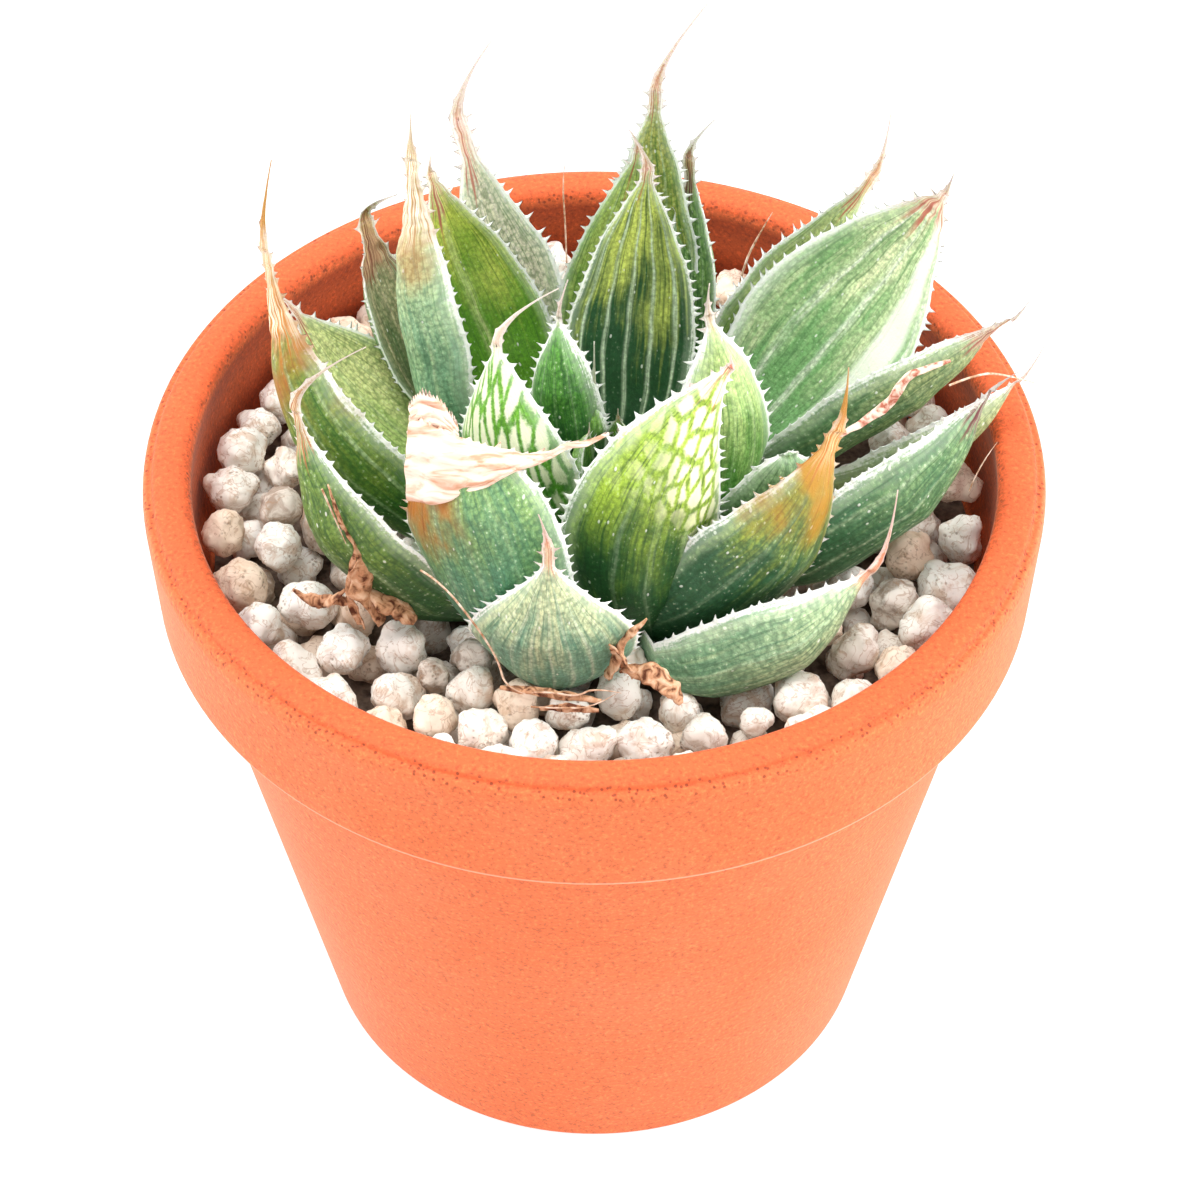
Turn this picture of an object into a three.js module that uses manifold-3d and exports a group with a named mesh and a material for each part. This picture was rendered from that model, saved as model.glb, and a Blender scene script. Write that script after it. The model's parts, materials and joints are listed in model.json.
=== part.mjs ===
// Potted haworthia: a rosette of fleshy leaves in a small terracotta pot, top-dressed with pumice.
// Millimetres, +Z up. The origin is on the pot's axis, in the plane that it stands on.
import * as THREE from 'three';
import Module from 'manifold-3d';
import { mergeVertices } from 'three/addons/utils/BufferGeometryUtils.js';

const wasm = await Module();
wasm.setup();

// ---- driving dimensions ----
const potHeight = 85;
const rimRadius = 52.5; // outside of the collar, just under the lip
const collarFootRadius = 51.6; // outside of the collar at its lower edge
const collarBottom = 68.7; // height of the collar's lower edge
const shoulderRadius = 48.1; // top of the tapered body, under the collar
const baseRadius = 34.2;
const wallThickness = 4;
const floorThickness = 6;
const mouthRadius = 46.6; // inner edge of the lip
const drainRadius = 6;
const potSides = 56;

const soilTop = 64; // potting mix ends here and the pumice begins
const bedTop = 73; // the filled level under the top layer of pumice
const pelletLevel = 75; // centres of the top layer of pumice
const pelletRadius = 3.1;
const wallRadius = 46.2; // what fills the pot stays inside this radius under the lip

const crownRadius = 12; // the short stem with its old leaf bases
const gap = 0.3; // clearance between touching pieces

const leafGreen = '#4f8a3a';
const leafDark = '#3d6b3c';
const leafBright = '#8fb83a';
const leafDusty = '#8ea070';
const dryTan = '#c9a184';
const clayColour = '#f08454';
const pumiceColour = '#ece3d8';
const soilColour = '#3b2d22';
const rootColour = '#b99b72';

// ---- leaves ----
// foot: start of the blade. tip: end of the flesh. awn: end of the dry bristle beyond it.
// width: broadest breadth. thick: flesh at the midrib. trough: how hollow the inner face is.
// bow: belly towards the outer side. sway: belly sideways. back: azimuth the outer face looks to.
// point: 1 is a plain point, more is drawn out. widest: share of the length where it is broadest.
// sheath: false on a piece that has withered off the crown.
const leaves = {
  leaf_bud: { foot: [0, 0, 84], tip: [0, 2, 92], awn: [0, 2, 101], width: 3, thick: 1.2,
    trough: 0.2, bow: 0.3, back: 270, colour: leafGreen },
  leaf_inner_dark: { foot: [-2, 2, 82], tip: [-4, 6, 101], awn: [-3, 8, 105], width: 9, thick: 3,
    trough: 1, bow: 0.5, back: 250, colour: leafDark },
  leaf_back_striped: { foot: [3, 1, 81], tip: [6, 13, 117], awn: [4, 15, 121], width: 15, thick: 4,
    trough: 2.5, bow: 2, back: 90, colour: leafDark },
  leaf_inner_windowed: { foot: [-5, -6, 80], tip: [-11, -1, 103], awn: [-4, 2, 109], width: 15.5,
    thick: 3.5, trough: 1, bow: 2, back: 240, colour: leafGreen },
  leaf_center_windowed: { foot: [6, -17, 75], tip: [15, -10, 108], awn: [15, -9, 109], width: 18,
    thick: 4.5, trough: 1, bow: 2, sway: -5, back: 275, colour: leafBright },
  leaf_front_short: { foot: [-4, -24, 75], tip: [-5, -31, 101], awn: [-6, -31, 106], width: 19,
    thick: 3.5, trough: 1, bow: 1.5, back: 265, point: 1.7, colour: leafDark },
  leaf_front_folded: { foot: [-6, -22, 75], tip: [-14.5, -20, 106], awn: [-15, -20, 106.5],
    width: 18, thick: 4.5, trough: 1, bow: 2, back: 255, point: 0.5, widest: 0.68, colour: leafGreen },
  leaf_front_amber: { foot: [6, -17, 76], tip: [27, -13, 101], awn: [28, -11, 109], width: 17,
    thick: 4, trough: 1, bow: 3, sway: 1.5, back: 290, point: 1.2, colour: leafGreen },
  leaf_front_low: { foot: [8, -24, 76], tip: [31, -20, 86], awn: [34, -15, 94], width: 13, thick: 4,
    trough: 1.5, bow: 2.5, back: 300, point: 1.1, colour: leafDark },
  leaf_left_front: { foot: [-14, -13, 75], tip: [-33, -13, 104], awn: [-25, -11, 112], width: 16,
    thick: 4, trough: 1, bow: 4, back: 225, point: 1.1, colour: leafDark },
  leaf_left_outer: { foot: [-12, -1, 76], tip: [-37, 5, 112], awn: [-36, 10, 121], width: 15,
    thick: 4, trough: 1.5, bow: 7, back: 225, point: 1.5, colour: leafGreen },
  leaf_center_right: { foot: [12, -4, 79], tip: [13, 3, 104], awn: [13, 4, 108], width: 13,
    thick: 3.5, trough: 1, bow: 1, sway: 1.5, back: 290, point: 1.1, colour: leafGreen },
  leaf_right_hidden: { foot: [16, -5, 80], tip: [22, -8, 93], awn: [22, -8, 93.4], width: 12, thick: 3,
    trough: 0.5, bow: 1, back: 300, point: 0.42, colour: leafGreen },
  leaf_right_broad: { foot: [16, 7, 80], tip: [40, 17, 110], awn: [41, 17, 113], width: 22,
    thick: 4.5, trough: 3.5, bow: 1, back: 40, point: 0.9, colour: leafGreen },
  leaf_right_dark: { foot: [18, -9, 77], tip: [45, -3, 98], awn: [48, -3, 101], width: 15, thick: 4,
    trough: 2, bow: 2, back: 320, colour: leafDark },
  leaf_right_slim: { foot: [20, 5, 80], tip: [48, 9, 98], awn: [50, 9, 101], width: 13, thick: 3.5,
    trough: 1.5, bow: -1, back: 330, point: 1.1, colour: leafGreen },
  leaf_right_small: { foot: [30, 4, 79], tip: [49, 6, 91], awn: [52, 7, 96], width: 9, thick: 3,
    trough: 1, bow: 0.5, back: 330, colour: leafDusty },
  leaf_back_shoulder: { foot: [1, 8, 80], tip: [5, 21, 113], awn: [4, 20, 117], width: 14, thick: 3.5,
    trough: 2, bow: 2, back: 90, colour: leafGreen },
  leaf_back_tall: { foot: [5, 13, 78], tip: [7, 27, 117], awn: [13, 33, 125], width: 12.5, thick: 3.5,
    trough: 2, bow: 2, back: 85, point: 1.1, colour: leafGreen },
  leaf_back_narrow: { foot: [10, 11, 79], tip: [11, 26, 108], awn: [14, 28, 112], width: 8, thick: 3,
    trough: 1, bow: 1, back: 60, point: 1.1, colour: leafGreen },
  leaf_back_right: { foot: [13, 20, 77], tip: [33, 30, 102], awn: [35, 35, 107], width: 11,
    thick: 3.5, trough: 2, bow: 1, back: 37, point: 1.2, colour: leafDusty },
  leaf_left_bright: { foot: [-6, 9, 80], tip: [-19, 24, 107], awn: [-19, 25, 109], width: 14,
    thick: 3.5, trough: 2, bow: 2, back: 120, colour: leafBright },
  leaf_back_left: { foot: [-5, 14, 79], tip: [-16, 34, 107], awn: [-12, 39, 115], width: 12.5,
    thick: 3.5, trough: 1.5, bow: 2, back: 110, point: 1.3, colour: leafDusty },
  leaf_left_upright: { foot: [-15, 8, 79], tip: [-21, 22, 111], awn: [-21, 23, 117], width: 10,
    thick: 3.5, trough: 1, bow: 1, back: 225, point: 1.1, colour: leafGreen },
  leaf_left_low: { foot: [-13, 4, 78], tip: [-35, 15, 94], awn: [-38, 17, 96], width: 17, thick: 3.5,
    trough: 2, bow: 2, back: 153, colour: leafGreen },
  leaf_left_curled: { foot: [-14, 10, 79], tip: [-27, 25, 99], awn: [-23, 24, 104], width: 11,
    thick: 3, trough: 1.5, bow: 2, back: 140, point: 0.9, colour: leafDusty },
};

// Withered leaves and husks, thin and without flesh, lying on the pumice and against the leaves.
const witheredLeaves = {
  withered_leaf_left: { foot: [-25, -22, 79.5], tip: [-28, -21, 94], awn: [-29, -21, 100], width: 5,
    thick: 0.8, trough: 0.8, bow: -1, back: 225, sheath: false, colour: dryTan },
  withered_husk_front: { foot: [2, -32, 81], tip: [4, -31.5, 88], awn: [6, -31, 90], width: 4,
    thick: 0.8, trough: 0.8, bow: 0.5, back: 270, sheath: false, colour: dryTan },
  withered_tip_right: { foot: [28, -12.5, 100.6], tip: [37, -8, 106], awn: [40, -7, 106.4], width: 2.4,
    thick: 0.7, trough: 0.3, bow: -0.5, back: 300, sheath: false, colour: dryTan },
};

const stations = [0, 0.14, 0.3, 0.46, 0.62, 0.76, 0.88]; // sections along a blade
const footShare = 0.55; // breadth at the foot, as a share of the width
const tipHalfBreadth = 0.5; // where the flesh ends and the bristle begins
const outerFace = [[-1, 0], [-0.66, 0.62], [0, 1], [0.66, 0.62]]; // keeled: share of breadth, of depth
const innerFace = [[1, 0], [0.5, 0.75], [0, 1], [-0.5, 0.75]]; // hollow: share of breadth, of trough

function point(list) {
  return new THREE.Vector3(...list);
}

function polar(radius, degrees, height) {
  const angle = THREE.MathUtils.degToRad(degrees);
  return new THREE.Vector3(radius * Math.cos(angle), radius * Math.sin(angle), height);
}

function breadth(share, leaf) {
  const widest = leaf.widest ?? 0.4;
  if (share < widest) {
    return footShare + (1 - footShare) * Math.sin((Math.PI / 2) * (share / widest));
  }
  const rest = (share - widest) / (1 - widest);
  return 0.92 * Math.cos((Math.PI / 2) * rest) ** (leaf.point ?? 1) + 0.08 * (1 - rest);
}

// One ring of points round a blade at a place on its midline.
function leafRing(place, along, outward, halfBreadth, keel, hollow, grow) {
  const out = outward.clone().addScaledVector(along, -outward.dot(along)).normalize();
  const side = new THREE.Vector3().crossVectors(along, out);
  const at = (share, depth) => {
    const across = Math.abs(share) === 1 ? halfBreadth + 3 * grow : halfBreadth + grow;
    return place.clone().addScaledVector(side, share * across).addScaledVector(out, depth);
  };
  return [
    ...outerFace.map(([x, d]) => at(x, d === 0 ? -grow : d * keel + grow)),
    ...innerFace.map(([x, d]) => at(x, d * hollow - grow)),
  ];
}

// Skins a list of rings with one point at each end.
function skin(rings, start, end) {
  const points = [...rings.flat(), start, end];
  const count = rings[0].length;
  const faces = [];
  for (let ring = 0; ring + 1 < rings.length; ring++) {
    for (let i = 0; i < count; i++) {
      const a = ring * count + i;
      const b = ring * count + ((i + 1) % count);
      faces.push(a, b, b + count, a, b + count, a + count);
    }
  }
  const last = (rings.length - 1) * count;
  for (let i = 0; i < count; i++) {
    const next = (i + 1) % count;
    faces.push(points.length - 2, next, i, points.length - 1, last + i, last + next);
  }
  const geometry = new THREE.BufferGeometry().setFromPoints(points);
  geometry.setIndex(faces);
  return geometry;
}

function leafGeometry(leaf, grow = 0) {
  const foot = point(leaf.foot);
  const tip = point(leaf.tip);
  const awn = point(leaf.awn);
  const chord = tip.clone().sub(foot).normalize();
  const outward = polar(1, leaf.back, 0);
  outward.addScaledVector(chord, -outward.dot(chord)).normalize();
  const side = new THREE.Vector3().crossVectors(chord, outward);
  const middle = foot.clone().add(tip).multiplyScalar(0.5)
    .addScaledVector(outward, 2 * leaf.bow).addScaledVector(side, 2 * (leaf.sway ?? 0));
  const midline = new THREE.QuadraticBezierCurve3(foot, middle, tip);
  const bristle = awn.clone().sub(tip).normalize();
  const rings = stations.map((share) => {
    const wide = breadth(share, leaf);
    const depth = Math.min(1, 1.15 * wide);
    return leafRing(midline.getPoint(share), midline.getTangent(share), outward,
      wide * leaf.width / 2, depth * (leaf.thick + leaf.trough), depth * leaf.trough, grow);
  });
  // A blade that starts clear of the crown reaches back to it with a short sheath.
  const reach = Math.hypot(foot.x, foot.y);
  let start = foot.clone().addScaledVector(outward, leaf.trough + leaf.thick / 2);
  if (leaf.sheath !== false && reach > 1.25 * crownRadius) {
    start = new THREE.Vector3(foot.x, foot.y, 0).multiplyScalar(crownRadius / reach);
    start.z = foot.z - 3;
  }
  rings.push(leafRing(tip, bristle, outward, tipHalfBreadth, 0.5, 0.1, grow));
  return skin(rings, start, awn.addScaledVector(bristle, grow));
}

// The folded leaf's dry end: a thin pointed flap turned over to the right.
function foldedFlap(grow = 0) {
  const flap = { foot: [-18, -21.5, 104], tip: [0, -18.6, 105.3], awn: [1.7, -18, 105.6], width: 8, thick: 0.8,
    trough: 0.4, bow: 0.8, back: 275, widest: 0.15, sheath: false };
  return leafGeometry(flap, grow);
}

// ---- solids ----
function toSolid(geometry) {
  const plain = geometry.clone();
  plain.deleteAttribute('normal');
  plain.deleteAttribute('uv');
  const merged = mergeVertices(plain, 1e-4);
  return new wasm.Manifold(new wasm.Mesh({
    numProp: 3,
    vertProperties: new Float32Array(merged.attributes.position.array),
    triVerts: new Uint32Array(merged.index.array),
  }));
}

function toGeometry(solid) {
  const mesh = solid.getMesh();
  const geometry = new THREE.BufferGeometry();
  geometry.setAttribute('position', new THREE.BufferAttribute(mesh.vertProperties, 3));
  geometry.setIndex(new THREE.BufferAttribute(mesh.triVerts, 1));
  return geometry;
}

function largestPart(solid) {
  return solid.decompose().sort((a, b) => b.volume() - a.volume())[0];
}

function lathe(profile, sides) {
  // A LatheGeometry turns about Y, so it is stood up to turn about Z.
  const geometry = new THREE.LatheGeometry(profile.map(([x, y]) => new THREE.Vector2(x, y)), sides);
  return geometry.rotateX(Math.PI / 2);
}

const object = new THREE.Group();
const placed = []; // grown solids of the pieces already in place, which later pieces keep clear of

function clearOf(solid, neighbours) {
  return largestPart(neighbours.reduce((left, other) => left.subtract(other), solid));
}

function addPiece(name, solid, colour, roughness) {
  const material = new THREE.MeshStandardMaterial({ color: colour, roughness, metalness: 0 });
  const mesh = new THREE.Mesh(toGeometry(solid), material);
  mesh.name = name;
  object.add(mesh);
}

// ---- terracotta pot: one thrown and fired piece with a drain hole ----
function potProfile() {
  const innerShoulder = shoulderRadius - wallThickness - 0.5;
  return [
    [drainRadius, 0], [baseRadius - 0.6, 0], [baseRadius, 0.6], [shoulderRadius, collarBottom],
    [collarFootRadius - 0.5, collarBottom], [collarFootRadius, collarBottom + 0.5],
    [rimRadius, potHeight - 2.2], [rimRadius - 0.3, potHeight - 0.9], [rimRadius - 1.2, potHeight - 0.2],
    [rimRadius - 2.2, potHeight], [mouthRadius + 1.4, potHeight], [mouthRadius + 0.4, potHeight - 0.5],
    [mouthRadius, potHeight - 1.6], [mouthRadius + 0.7, potHeight - 6], [mouthRadius + 0.3, 72],
    [innerShoulder, 66], [baseRadius - wallThickness + 0.3, floorThickness],
    [drainRadius, floorThickness], [drainRadius, 0],
  ];
}
addPiece('terracotta_pot', toSolid(lathe(potProfile(), potSides)), clayColour, 0.85);

// ---- crock: a curved shard laid over the drain hole so that the mix doesn't wash out ----
const crockRadius = 24;
const crockSize = 11;
const crockThickness = 3;
function crockGeometry(grow) {
  const rise = crockRadius - Math.sqrt(crockRadius ** 2 - crockSize ** 2);
  const under = floorThickness + gap - grow;
  const over = floorThickness + gap + crockThickness + grow;
  return lathe([
    [0, under + rise], [crockSize * 0.6, under + rise * 0.62], [crockSize + grow, under],
    [crockSize + grow, over], [crockSize * 0.6, over + rise * 0.62], [0, over + rise],
  ], 20);
}
addPiece('drain_crock', toSolid(crockGeometry(0)), clayColour, 0.9);

// ---- crown and roots: one piece, the short stem and the thick roots that it sends down ----
const crownProfile = [
  [0, 56], [4, 56], [6, 62], [crownRadius - 1, 67], [crownRadius, 71], [crownRadius - 0.5, 75],
  [8, 78.5], [0, 80],
];
const rootEnds = [[24, 20, 22], [26, 95, 30], [22, 160, 18], [27, 230, 28], [23, 305, 20]];
const rootThick = 1.6;
function rootGeometry([radius, degrees, height], grow) {
  const route = new THREE.CatmullRomCurve3([
    new THREE.Vector3(0, 0, 60), polar(radius * 0.35, degrees, 52),
    polar(radius * 0.8, degrees + 14, (height + 46) / 2), polar(radius, degrees + 6, height),
  ]);
  const section = new THREE.Shape().absarc(0, 0, rootThick + grow, 0, 2 * Math.PI);
  return new THREE.ExtrudeGeometry(section, { steps: 8, curveSegments: 3, extrudePath: route });
}
function crownSolid(grow) {
  const knob = crownProfile.map(([r, z], i) => [r === 0 ? 0 : r + grow,
    z + (i === 0 ? -grow : i === crownProfile.length - 1 ? grow : 0)]);
  return rootEnds.reduce((sum, end) => sum.add(toSolid(rootGeometry(end, grow))), toSolid(lathe(knob, 18)));
}
addPiece('crown_and_roots', crownSolid(0), rootColour, 0.8);
const grownCrown = crownSolid(gap);

// ---- potting mix: fills the tapered body of the pot ----
const fillTaper = (shoulderRadius - baseRadius) / collarBottom;
const fillRadius = (height) => baseRadius - wallThickness - 0.2 + fillTaper * height - gap;
const mixProfile = [
  [0, floorThickness + gap], [fillRadius(floorThickness) - 0.4, floorThickness + gap],
  [fillRadius(soilTop) - 0.6, soilTop - gap], [0, soilTop - gap],
];
const mix = toSolid(lathe(mixProfile, potSides)).subtract(toSolid(crockGeometry(gap))).subtract(grownCrown);
addPiece('potting_mix', largestPart(mix), soilColour, 0.95);
placed.push(grownCrown);

// ---- leaves, from the middle of the rosette outwards ----
for (const [name, leaf] of Object.entries({ ...leaves, ...witheredLeaves })) {
  const folded = name === 'leaf_front_folded';
  const whole = (grow) => {
    const blade = toSolid(leafGeometry(leaf, grow));
    return folded ? blade.add(toSolid(foldedFlap(grow))) : blade;
  };
  addPiece(name, clearOf(whole(0), placed), leaf.colour, leaf.colour === dryTan ? 0.9 : 0.45);
  placed.push(whole(gap).add(whole(0)));
}

// ---- pumice: loose round lumps at the front, and the bed behind and below them ----
const frontRows = [
  { radius: 42.6, from: 196, to: 344, count: 16 },
  { radius: 36.4, from: 204, to: 232, count: 3 },
  { radius: 37.4, from: 308, to: 338, count: 3 },
];
const bedRows = [
  { radius: 42.4, from: -10, to: 190, count: 21 },
  { radius: 35.8, from: 40, to: 190, count: 13 },
];
function rowPlaces({ radius, from, to, count }) {
  const step = (to - from) / (count - 1);
  return Array.from({ length: count }, (_, i) =>
    polar(radius, from + i * step, pelletLevel + 0.5 * Math.sin(2.4 * i)));
}
function lump(place, grow, detail) {
  const radius = pelletRadius + grow;
  return toSolid(new THREE.IcosahedronGeometry(radius, detail).translate(place.x, place.y, place.z));
}
let count = 0;
for (const place of frontRows.flatMap(rowPlaces)) {
  count += 1;
  const name = `pumice_lump_${String(count).padStart(2, '0')}`;
  addPiece(name, clearOf(lump(place, 0, 1), placed), pumiceColour, 0.95);
  placed.push(lump(place, gap, 1));
}
const bedProfile = [[0, soilTop], [43.2 - gap, soilTop + 1.2], [wallRadius, bedTop - 2], [wallRadius, bedTop],
  [0, bedTop]];
let bed = toSolid(lathe(bedProfile, potSides));
for (const place of bedRows.flatMap(rowPlaces)) bed = bed.add(lump(place, gap, 0));
addPiece('pumice_bed', clearOf(bed, placed), pumiceColour, 0.95);

export default object;
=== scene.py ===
# Potted haworthia: a small collared clay pot, round pumice and a rosette of toothed leaves.
import json
import math
import random

import bpy
import numpy as np
from mathutils import Matrix, Vector, noise
from mathutils.bvhtree import BVHTree

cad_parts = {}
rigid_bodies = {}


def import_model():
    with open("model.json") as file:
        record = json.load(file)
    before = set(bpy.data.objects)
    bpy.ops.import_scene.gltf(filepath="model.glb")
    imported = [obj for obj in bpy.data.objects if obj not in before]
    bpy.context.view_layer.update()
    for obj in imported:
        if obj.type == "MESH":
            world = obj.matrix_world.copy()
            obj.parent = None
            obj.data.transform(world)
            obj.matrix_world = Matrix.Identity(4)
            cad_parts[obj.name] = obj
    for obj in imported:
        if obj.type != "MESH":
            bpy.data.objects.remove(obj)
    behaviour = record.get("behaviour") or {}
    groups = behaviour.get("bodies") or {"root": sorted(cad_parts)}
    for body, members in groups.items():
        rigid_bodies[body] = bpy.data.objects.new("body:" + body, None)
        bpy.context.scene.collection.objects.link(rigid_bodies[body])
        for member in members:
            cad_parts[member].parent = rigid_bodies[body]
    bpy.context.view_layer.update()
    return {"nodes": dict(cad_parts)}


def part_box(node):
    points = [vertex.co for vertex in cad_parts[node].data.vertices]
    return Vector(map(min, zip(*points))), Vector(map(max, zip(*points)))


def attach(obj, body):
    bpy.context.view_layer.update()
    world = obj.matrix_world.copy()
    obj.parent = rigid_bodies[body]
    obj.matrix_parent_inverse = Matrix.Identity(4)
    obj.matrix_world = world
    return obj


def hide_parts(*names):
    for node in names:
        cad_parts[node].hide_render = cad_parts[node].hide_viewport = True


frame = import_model()
mm = 0.001
print("frame loaded,", len(frame["nodes"]), "nodes")


# ---------- small helpers ----------
def hexColour(text, alpha=1.0):
    parts = [int(text[i:i + 2], 16) / 255 for i in (1, 3, 5)]
    return tuple(c / 12.92 if c <= 0.04045 else ((c + 0.055) / 1.055) ** 2.4 for c in parts) + (alpha,)


def smoothStep(low, high, value):
    share = min(1.0, max(0.0, (value - low) / (high - low)))
    return share * share * (3 - 2 * share)


def deselectAll():
    if bpy.context.object and bpy.context.object.mode != "OBJECT":
        bpy.ops.object.mode_set(mode="OBJECT")
    bpy.ops.object.select_all(action="DESELECT")


def pick(*things):
    deselectAll()
    for thing in things:
        thing.select_set(True)
    bpy.context.view_layer.objects.active = things[0]


def settle(piece, name, material, cadNodes):
    # the finished piece: place in the mesh, one name, one finish, and what it stands for
    pick(piece)
    bpy.ops.object.transform_apply(location=True, rotation=True, scale=True)
    piece.name = name
    piece.data.name = name
    if material:
        piece.data.materials.clear()
        piece.data.materials.append(material)
    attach(piece, "root")
    if cadNodes:
        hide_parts(*cadNodes)
    return piece


def setAttribute(mesh, name, values):
    layer = mesh.attributes.new(name, "FLOAT", "POINT")
    layer.data.foreach_set("value", values)


def addNode(tree, kind, inputs=None, **settings):
    node = tree.nodes.new(kind)
    for key, value in settings.items():
        setattr(node, key, value)
    for socket, value in (inputs or {}).items():
        if isinstance(value, bpy.types.NodeSocket):
            tree.links.new(value, node.inputs[socket])
        else:
            node.inputs[socket].default_value = value
    return node


def setStops(ramp, stops):
    # stops: (position, colour) pairs, colour as hex or as a grey level
    line = ramp.color_ramp
    while len(line.elements) > 1:
        line.elements.remove(line.elements[0])
    for i, (place, colour) in enumerate(stops):
        stop = line.elements[0] if i == 0 else line.elements.new(place)
        stop.position = place
        stop.color = hexColour(colour) if isinstance(colour, str) else (colour, colour, colour, 1)
    return ramp


def newMaterial(name):
    material = bpy.data.materials.new(name)
    material.use_nodes = True
    tree = material.node_tree
    tree.nodes.clear()
    skin = addNode(tree, "ShaderNodeBsdfPrincipled")
    out = addNode(tree, "ShaderNodeOutputMaterial", {"Surface": skin.outputs["BSDF"]})
    return material, tree, skin, out


# ---------- camera and light ----------
studio = {
    "cameraPlace": (0.0, -0.3512, 0.4232),
    "cameraTilt": 44.1,  # degrees up from straight down
    "lens": 126,
    "shift": 0.0048,
    "worldStrength": 0.88,
    "boxes": {  # name: place, size, watts
        "left_softbox": ((-0.75, 0.3, 0.4), 0.7, 6.5),
        "right_softbox": ((0.75, 0.05, 0.35), 0.7, 8.0),
        "top_softbox": ((-0.15, 0.05, 0.95), 0.6, 5.5),
        "front_softbox": ((0.1, -0.85, 0.2), 0.7, 2.6),
    },
    "floorColour": "#8a8a8a",
    "floorGlow": 0.85,
}


def aimLight(name, place, size, watts):
    bpy.ops.object.light_add(type="AREA", location=place)
    lamp = bpy.context.object
    lamp.name = name
    lamp.data.size = size
    lamp.data.energy = watts
    lamp.rotation_euler = (Vector((0, 0, 0.06)) - Vector(place)).to_track_quat("-Z", "Y").to_euler()
    return lamp


def buildStudio():
    deselectAll()
    bpy.ops.object.camera_add(location=studio["cameraPlace"], rotation=(math.radians(studio["cameraTilt"]), 0, 0))
    camera = bpy.context.object
    camera.data.lens = studio["lens"]
    camera.data.sensor_width = 36
    camera.data.shift_x = studio["shift"]
    camera.data.clip_start = 0.01
    bpy.context.scene.camera = camera
    world = bpy.data.worlds.new("softbox room")
    world.use_nodes = True
    world.node_tree.nodes["Background"].inputs["Color"].default_value = (1, 1, 1, 1)
    world.node_tree.nodes["Background"].inputs["Strength"].default_value = studio["worldStrength"]
    bpy.context.scene.world = world
    for name, (place, size, watts) in studio["boxes"].items():
        aimLight(name, place, size, watts)
    bpy.ops.mesh.primitive_plane_add(size=6, location=(0, 0, 0))
    floor = bpy.context.object
    floor.name = "floor"
    material, tree, skin, _ = newMaterial("white acrylic sheet, lit from below")
    skin.inputs["Base Color"].default_value = hexColour(studio["floorColour"])
    skin.inputs["Roughness"].default_value = 0.9
    skin.inputs["Emission Color"].default_value = (1, 1, 1, 1)
    skin.inputs["Emission Strength"].default_value = studio["floorGlow"]
    floor.data.materials.append(material)
    bpy.context.scene.view_settings.view_transform = "Standard"
    print("studio set")


buildStudio()

# ---------- terracotta pot ----------
pot = {
    "sides": 160,
    "rim": 52.5,  # outside radius under the lip
    "height": 85,
    "mouth": 46.6,
    "collarBottom": 68.7,
    "collarFoot": 51.6,
    "shoulder": 48.1,
    "base": 34.2,
    "drain": 6,
    "floor": 6,
    "wall": 4,
}


def roundedProfile(corners):
    # each corner is (radius, height, rounding); a rounding of 0 leaves it as it is
    path = []
    count = len(corners)
    for i, (x, z, soft) in enumerate(corners):
        here = Vector((x, z))
        if soft == 0 or i in (0, count - 1):
            path.append(here)
            continue
        back = Vector(corners[i - 1][:2]) - here
        ahead = Vector(corners[i + 1][:2]) - here
        start = here + back.normalized() * min(soft, back.length * 0.49)
        end = here + ahead.normalized() * min(soft, ahead.length * 0.49)
        for k in range(6):
            t = k / 5
            path.append(start * (1 - t) ** 2 + here * 2 * t * (1 - t) + end * t * t)
    return path


def turnPot():
    p = pot
    inner = p["shoulder"] - p["wall"] - 0.5
    corners = [
        (p["drain"], 0, 0), (p["base"], 0, 0.7), (p["shoulder"], p["collarBottom"], 0.4),
        (p["collarFoot"], p["collarBottom"], 0.5), (p["rim"], p["height"] - 2.2, 1.0),
        (p["rim"] - 0.35, p["height"] - 0.95, 0.5), (p["rim"] - 1.15, p["height"] - 0.95, 0.25),
        (p["rim"] - 1.35, p["height"] - 0.35, 0.3), (p["rim"] - 2.7, p["height"], 0.8),
        (p["mouth"] + 0.9, p["height"], 1.0), (p["mouth"] + 0.1, p["height"] - 1.3, 0.9),
        (p["mouth"] + 0.7, p["height"] - 6, 1.5), (p["mouth"] + 0.3, 72, 2),
        (inner, 66, 3), (p["base"] - p["wall"] + 0.3, p["floor"], 2), (p["drain"], p["floor"], 0.6),
        (p["drain"], 0, 0),
    ]
    path = roundedProfile(corners)
    # long straight stretches get rings between, so that the wall can be slightly uneven
    full = [path[0]]
    for spot in path[1:]:
        gap = spot - full[-1]
        steps = max(1, int(gap.length / 3.0))
        full += [full[-1] + gap * (k / steps) for k in range(1, steps + 1)]
    deselectAll()
    bpy.ops.mesh.primitive_circle_add(vertices=p["sides"], radius=full[0].x * mm, fill_type="NOTHING",
                                      location=(0, 0, full[0].y * mm))
    body = bpy.context.object
    bpy.ops.object.transform_apply(location=True)
    bpy.ops.object.mode_set(mode="EDIT")
    bpy.ops.mesh.select_all(action="SELECT")
    for before, after in zip(full, full[1:]):
        bpy.ops.mesh.extrude_region_move(TRANSFORM_OT_translate={"value": (0, 0, (after.y - before.y) * mm)})
        scale = after.x / before.x
        bpy.ops.transform.resize(value=(scale, scale, 1))
    bpy.ops.mesh.select_all(action="SELECT")
    bpy.ops.mesh.remove_doubles(threshold=1e-5)
    bpy.ops.mesh.normals_make_consistent(inside=False)
    bpy.ops.object.mode_set(mode="OBJECT")
    bpy.ops.object.shade_smooth_by_angle(angle=math.radians(50))
    return body


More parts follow.
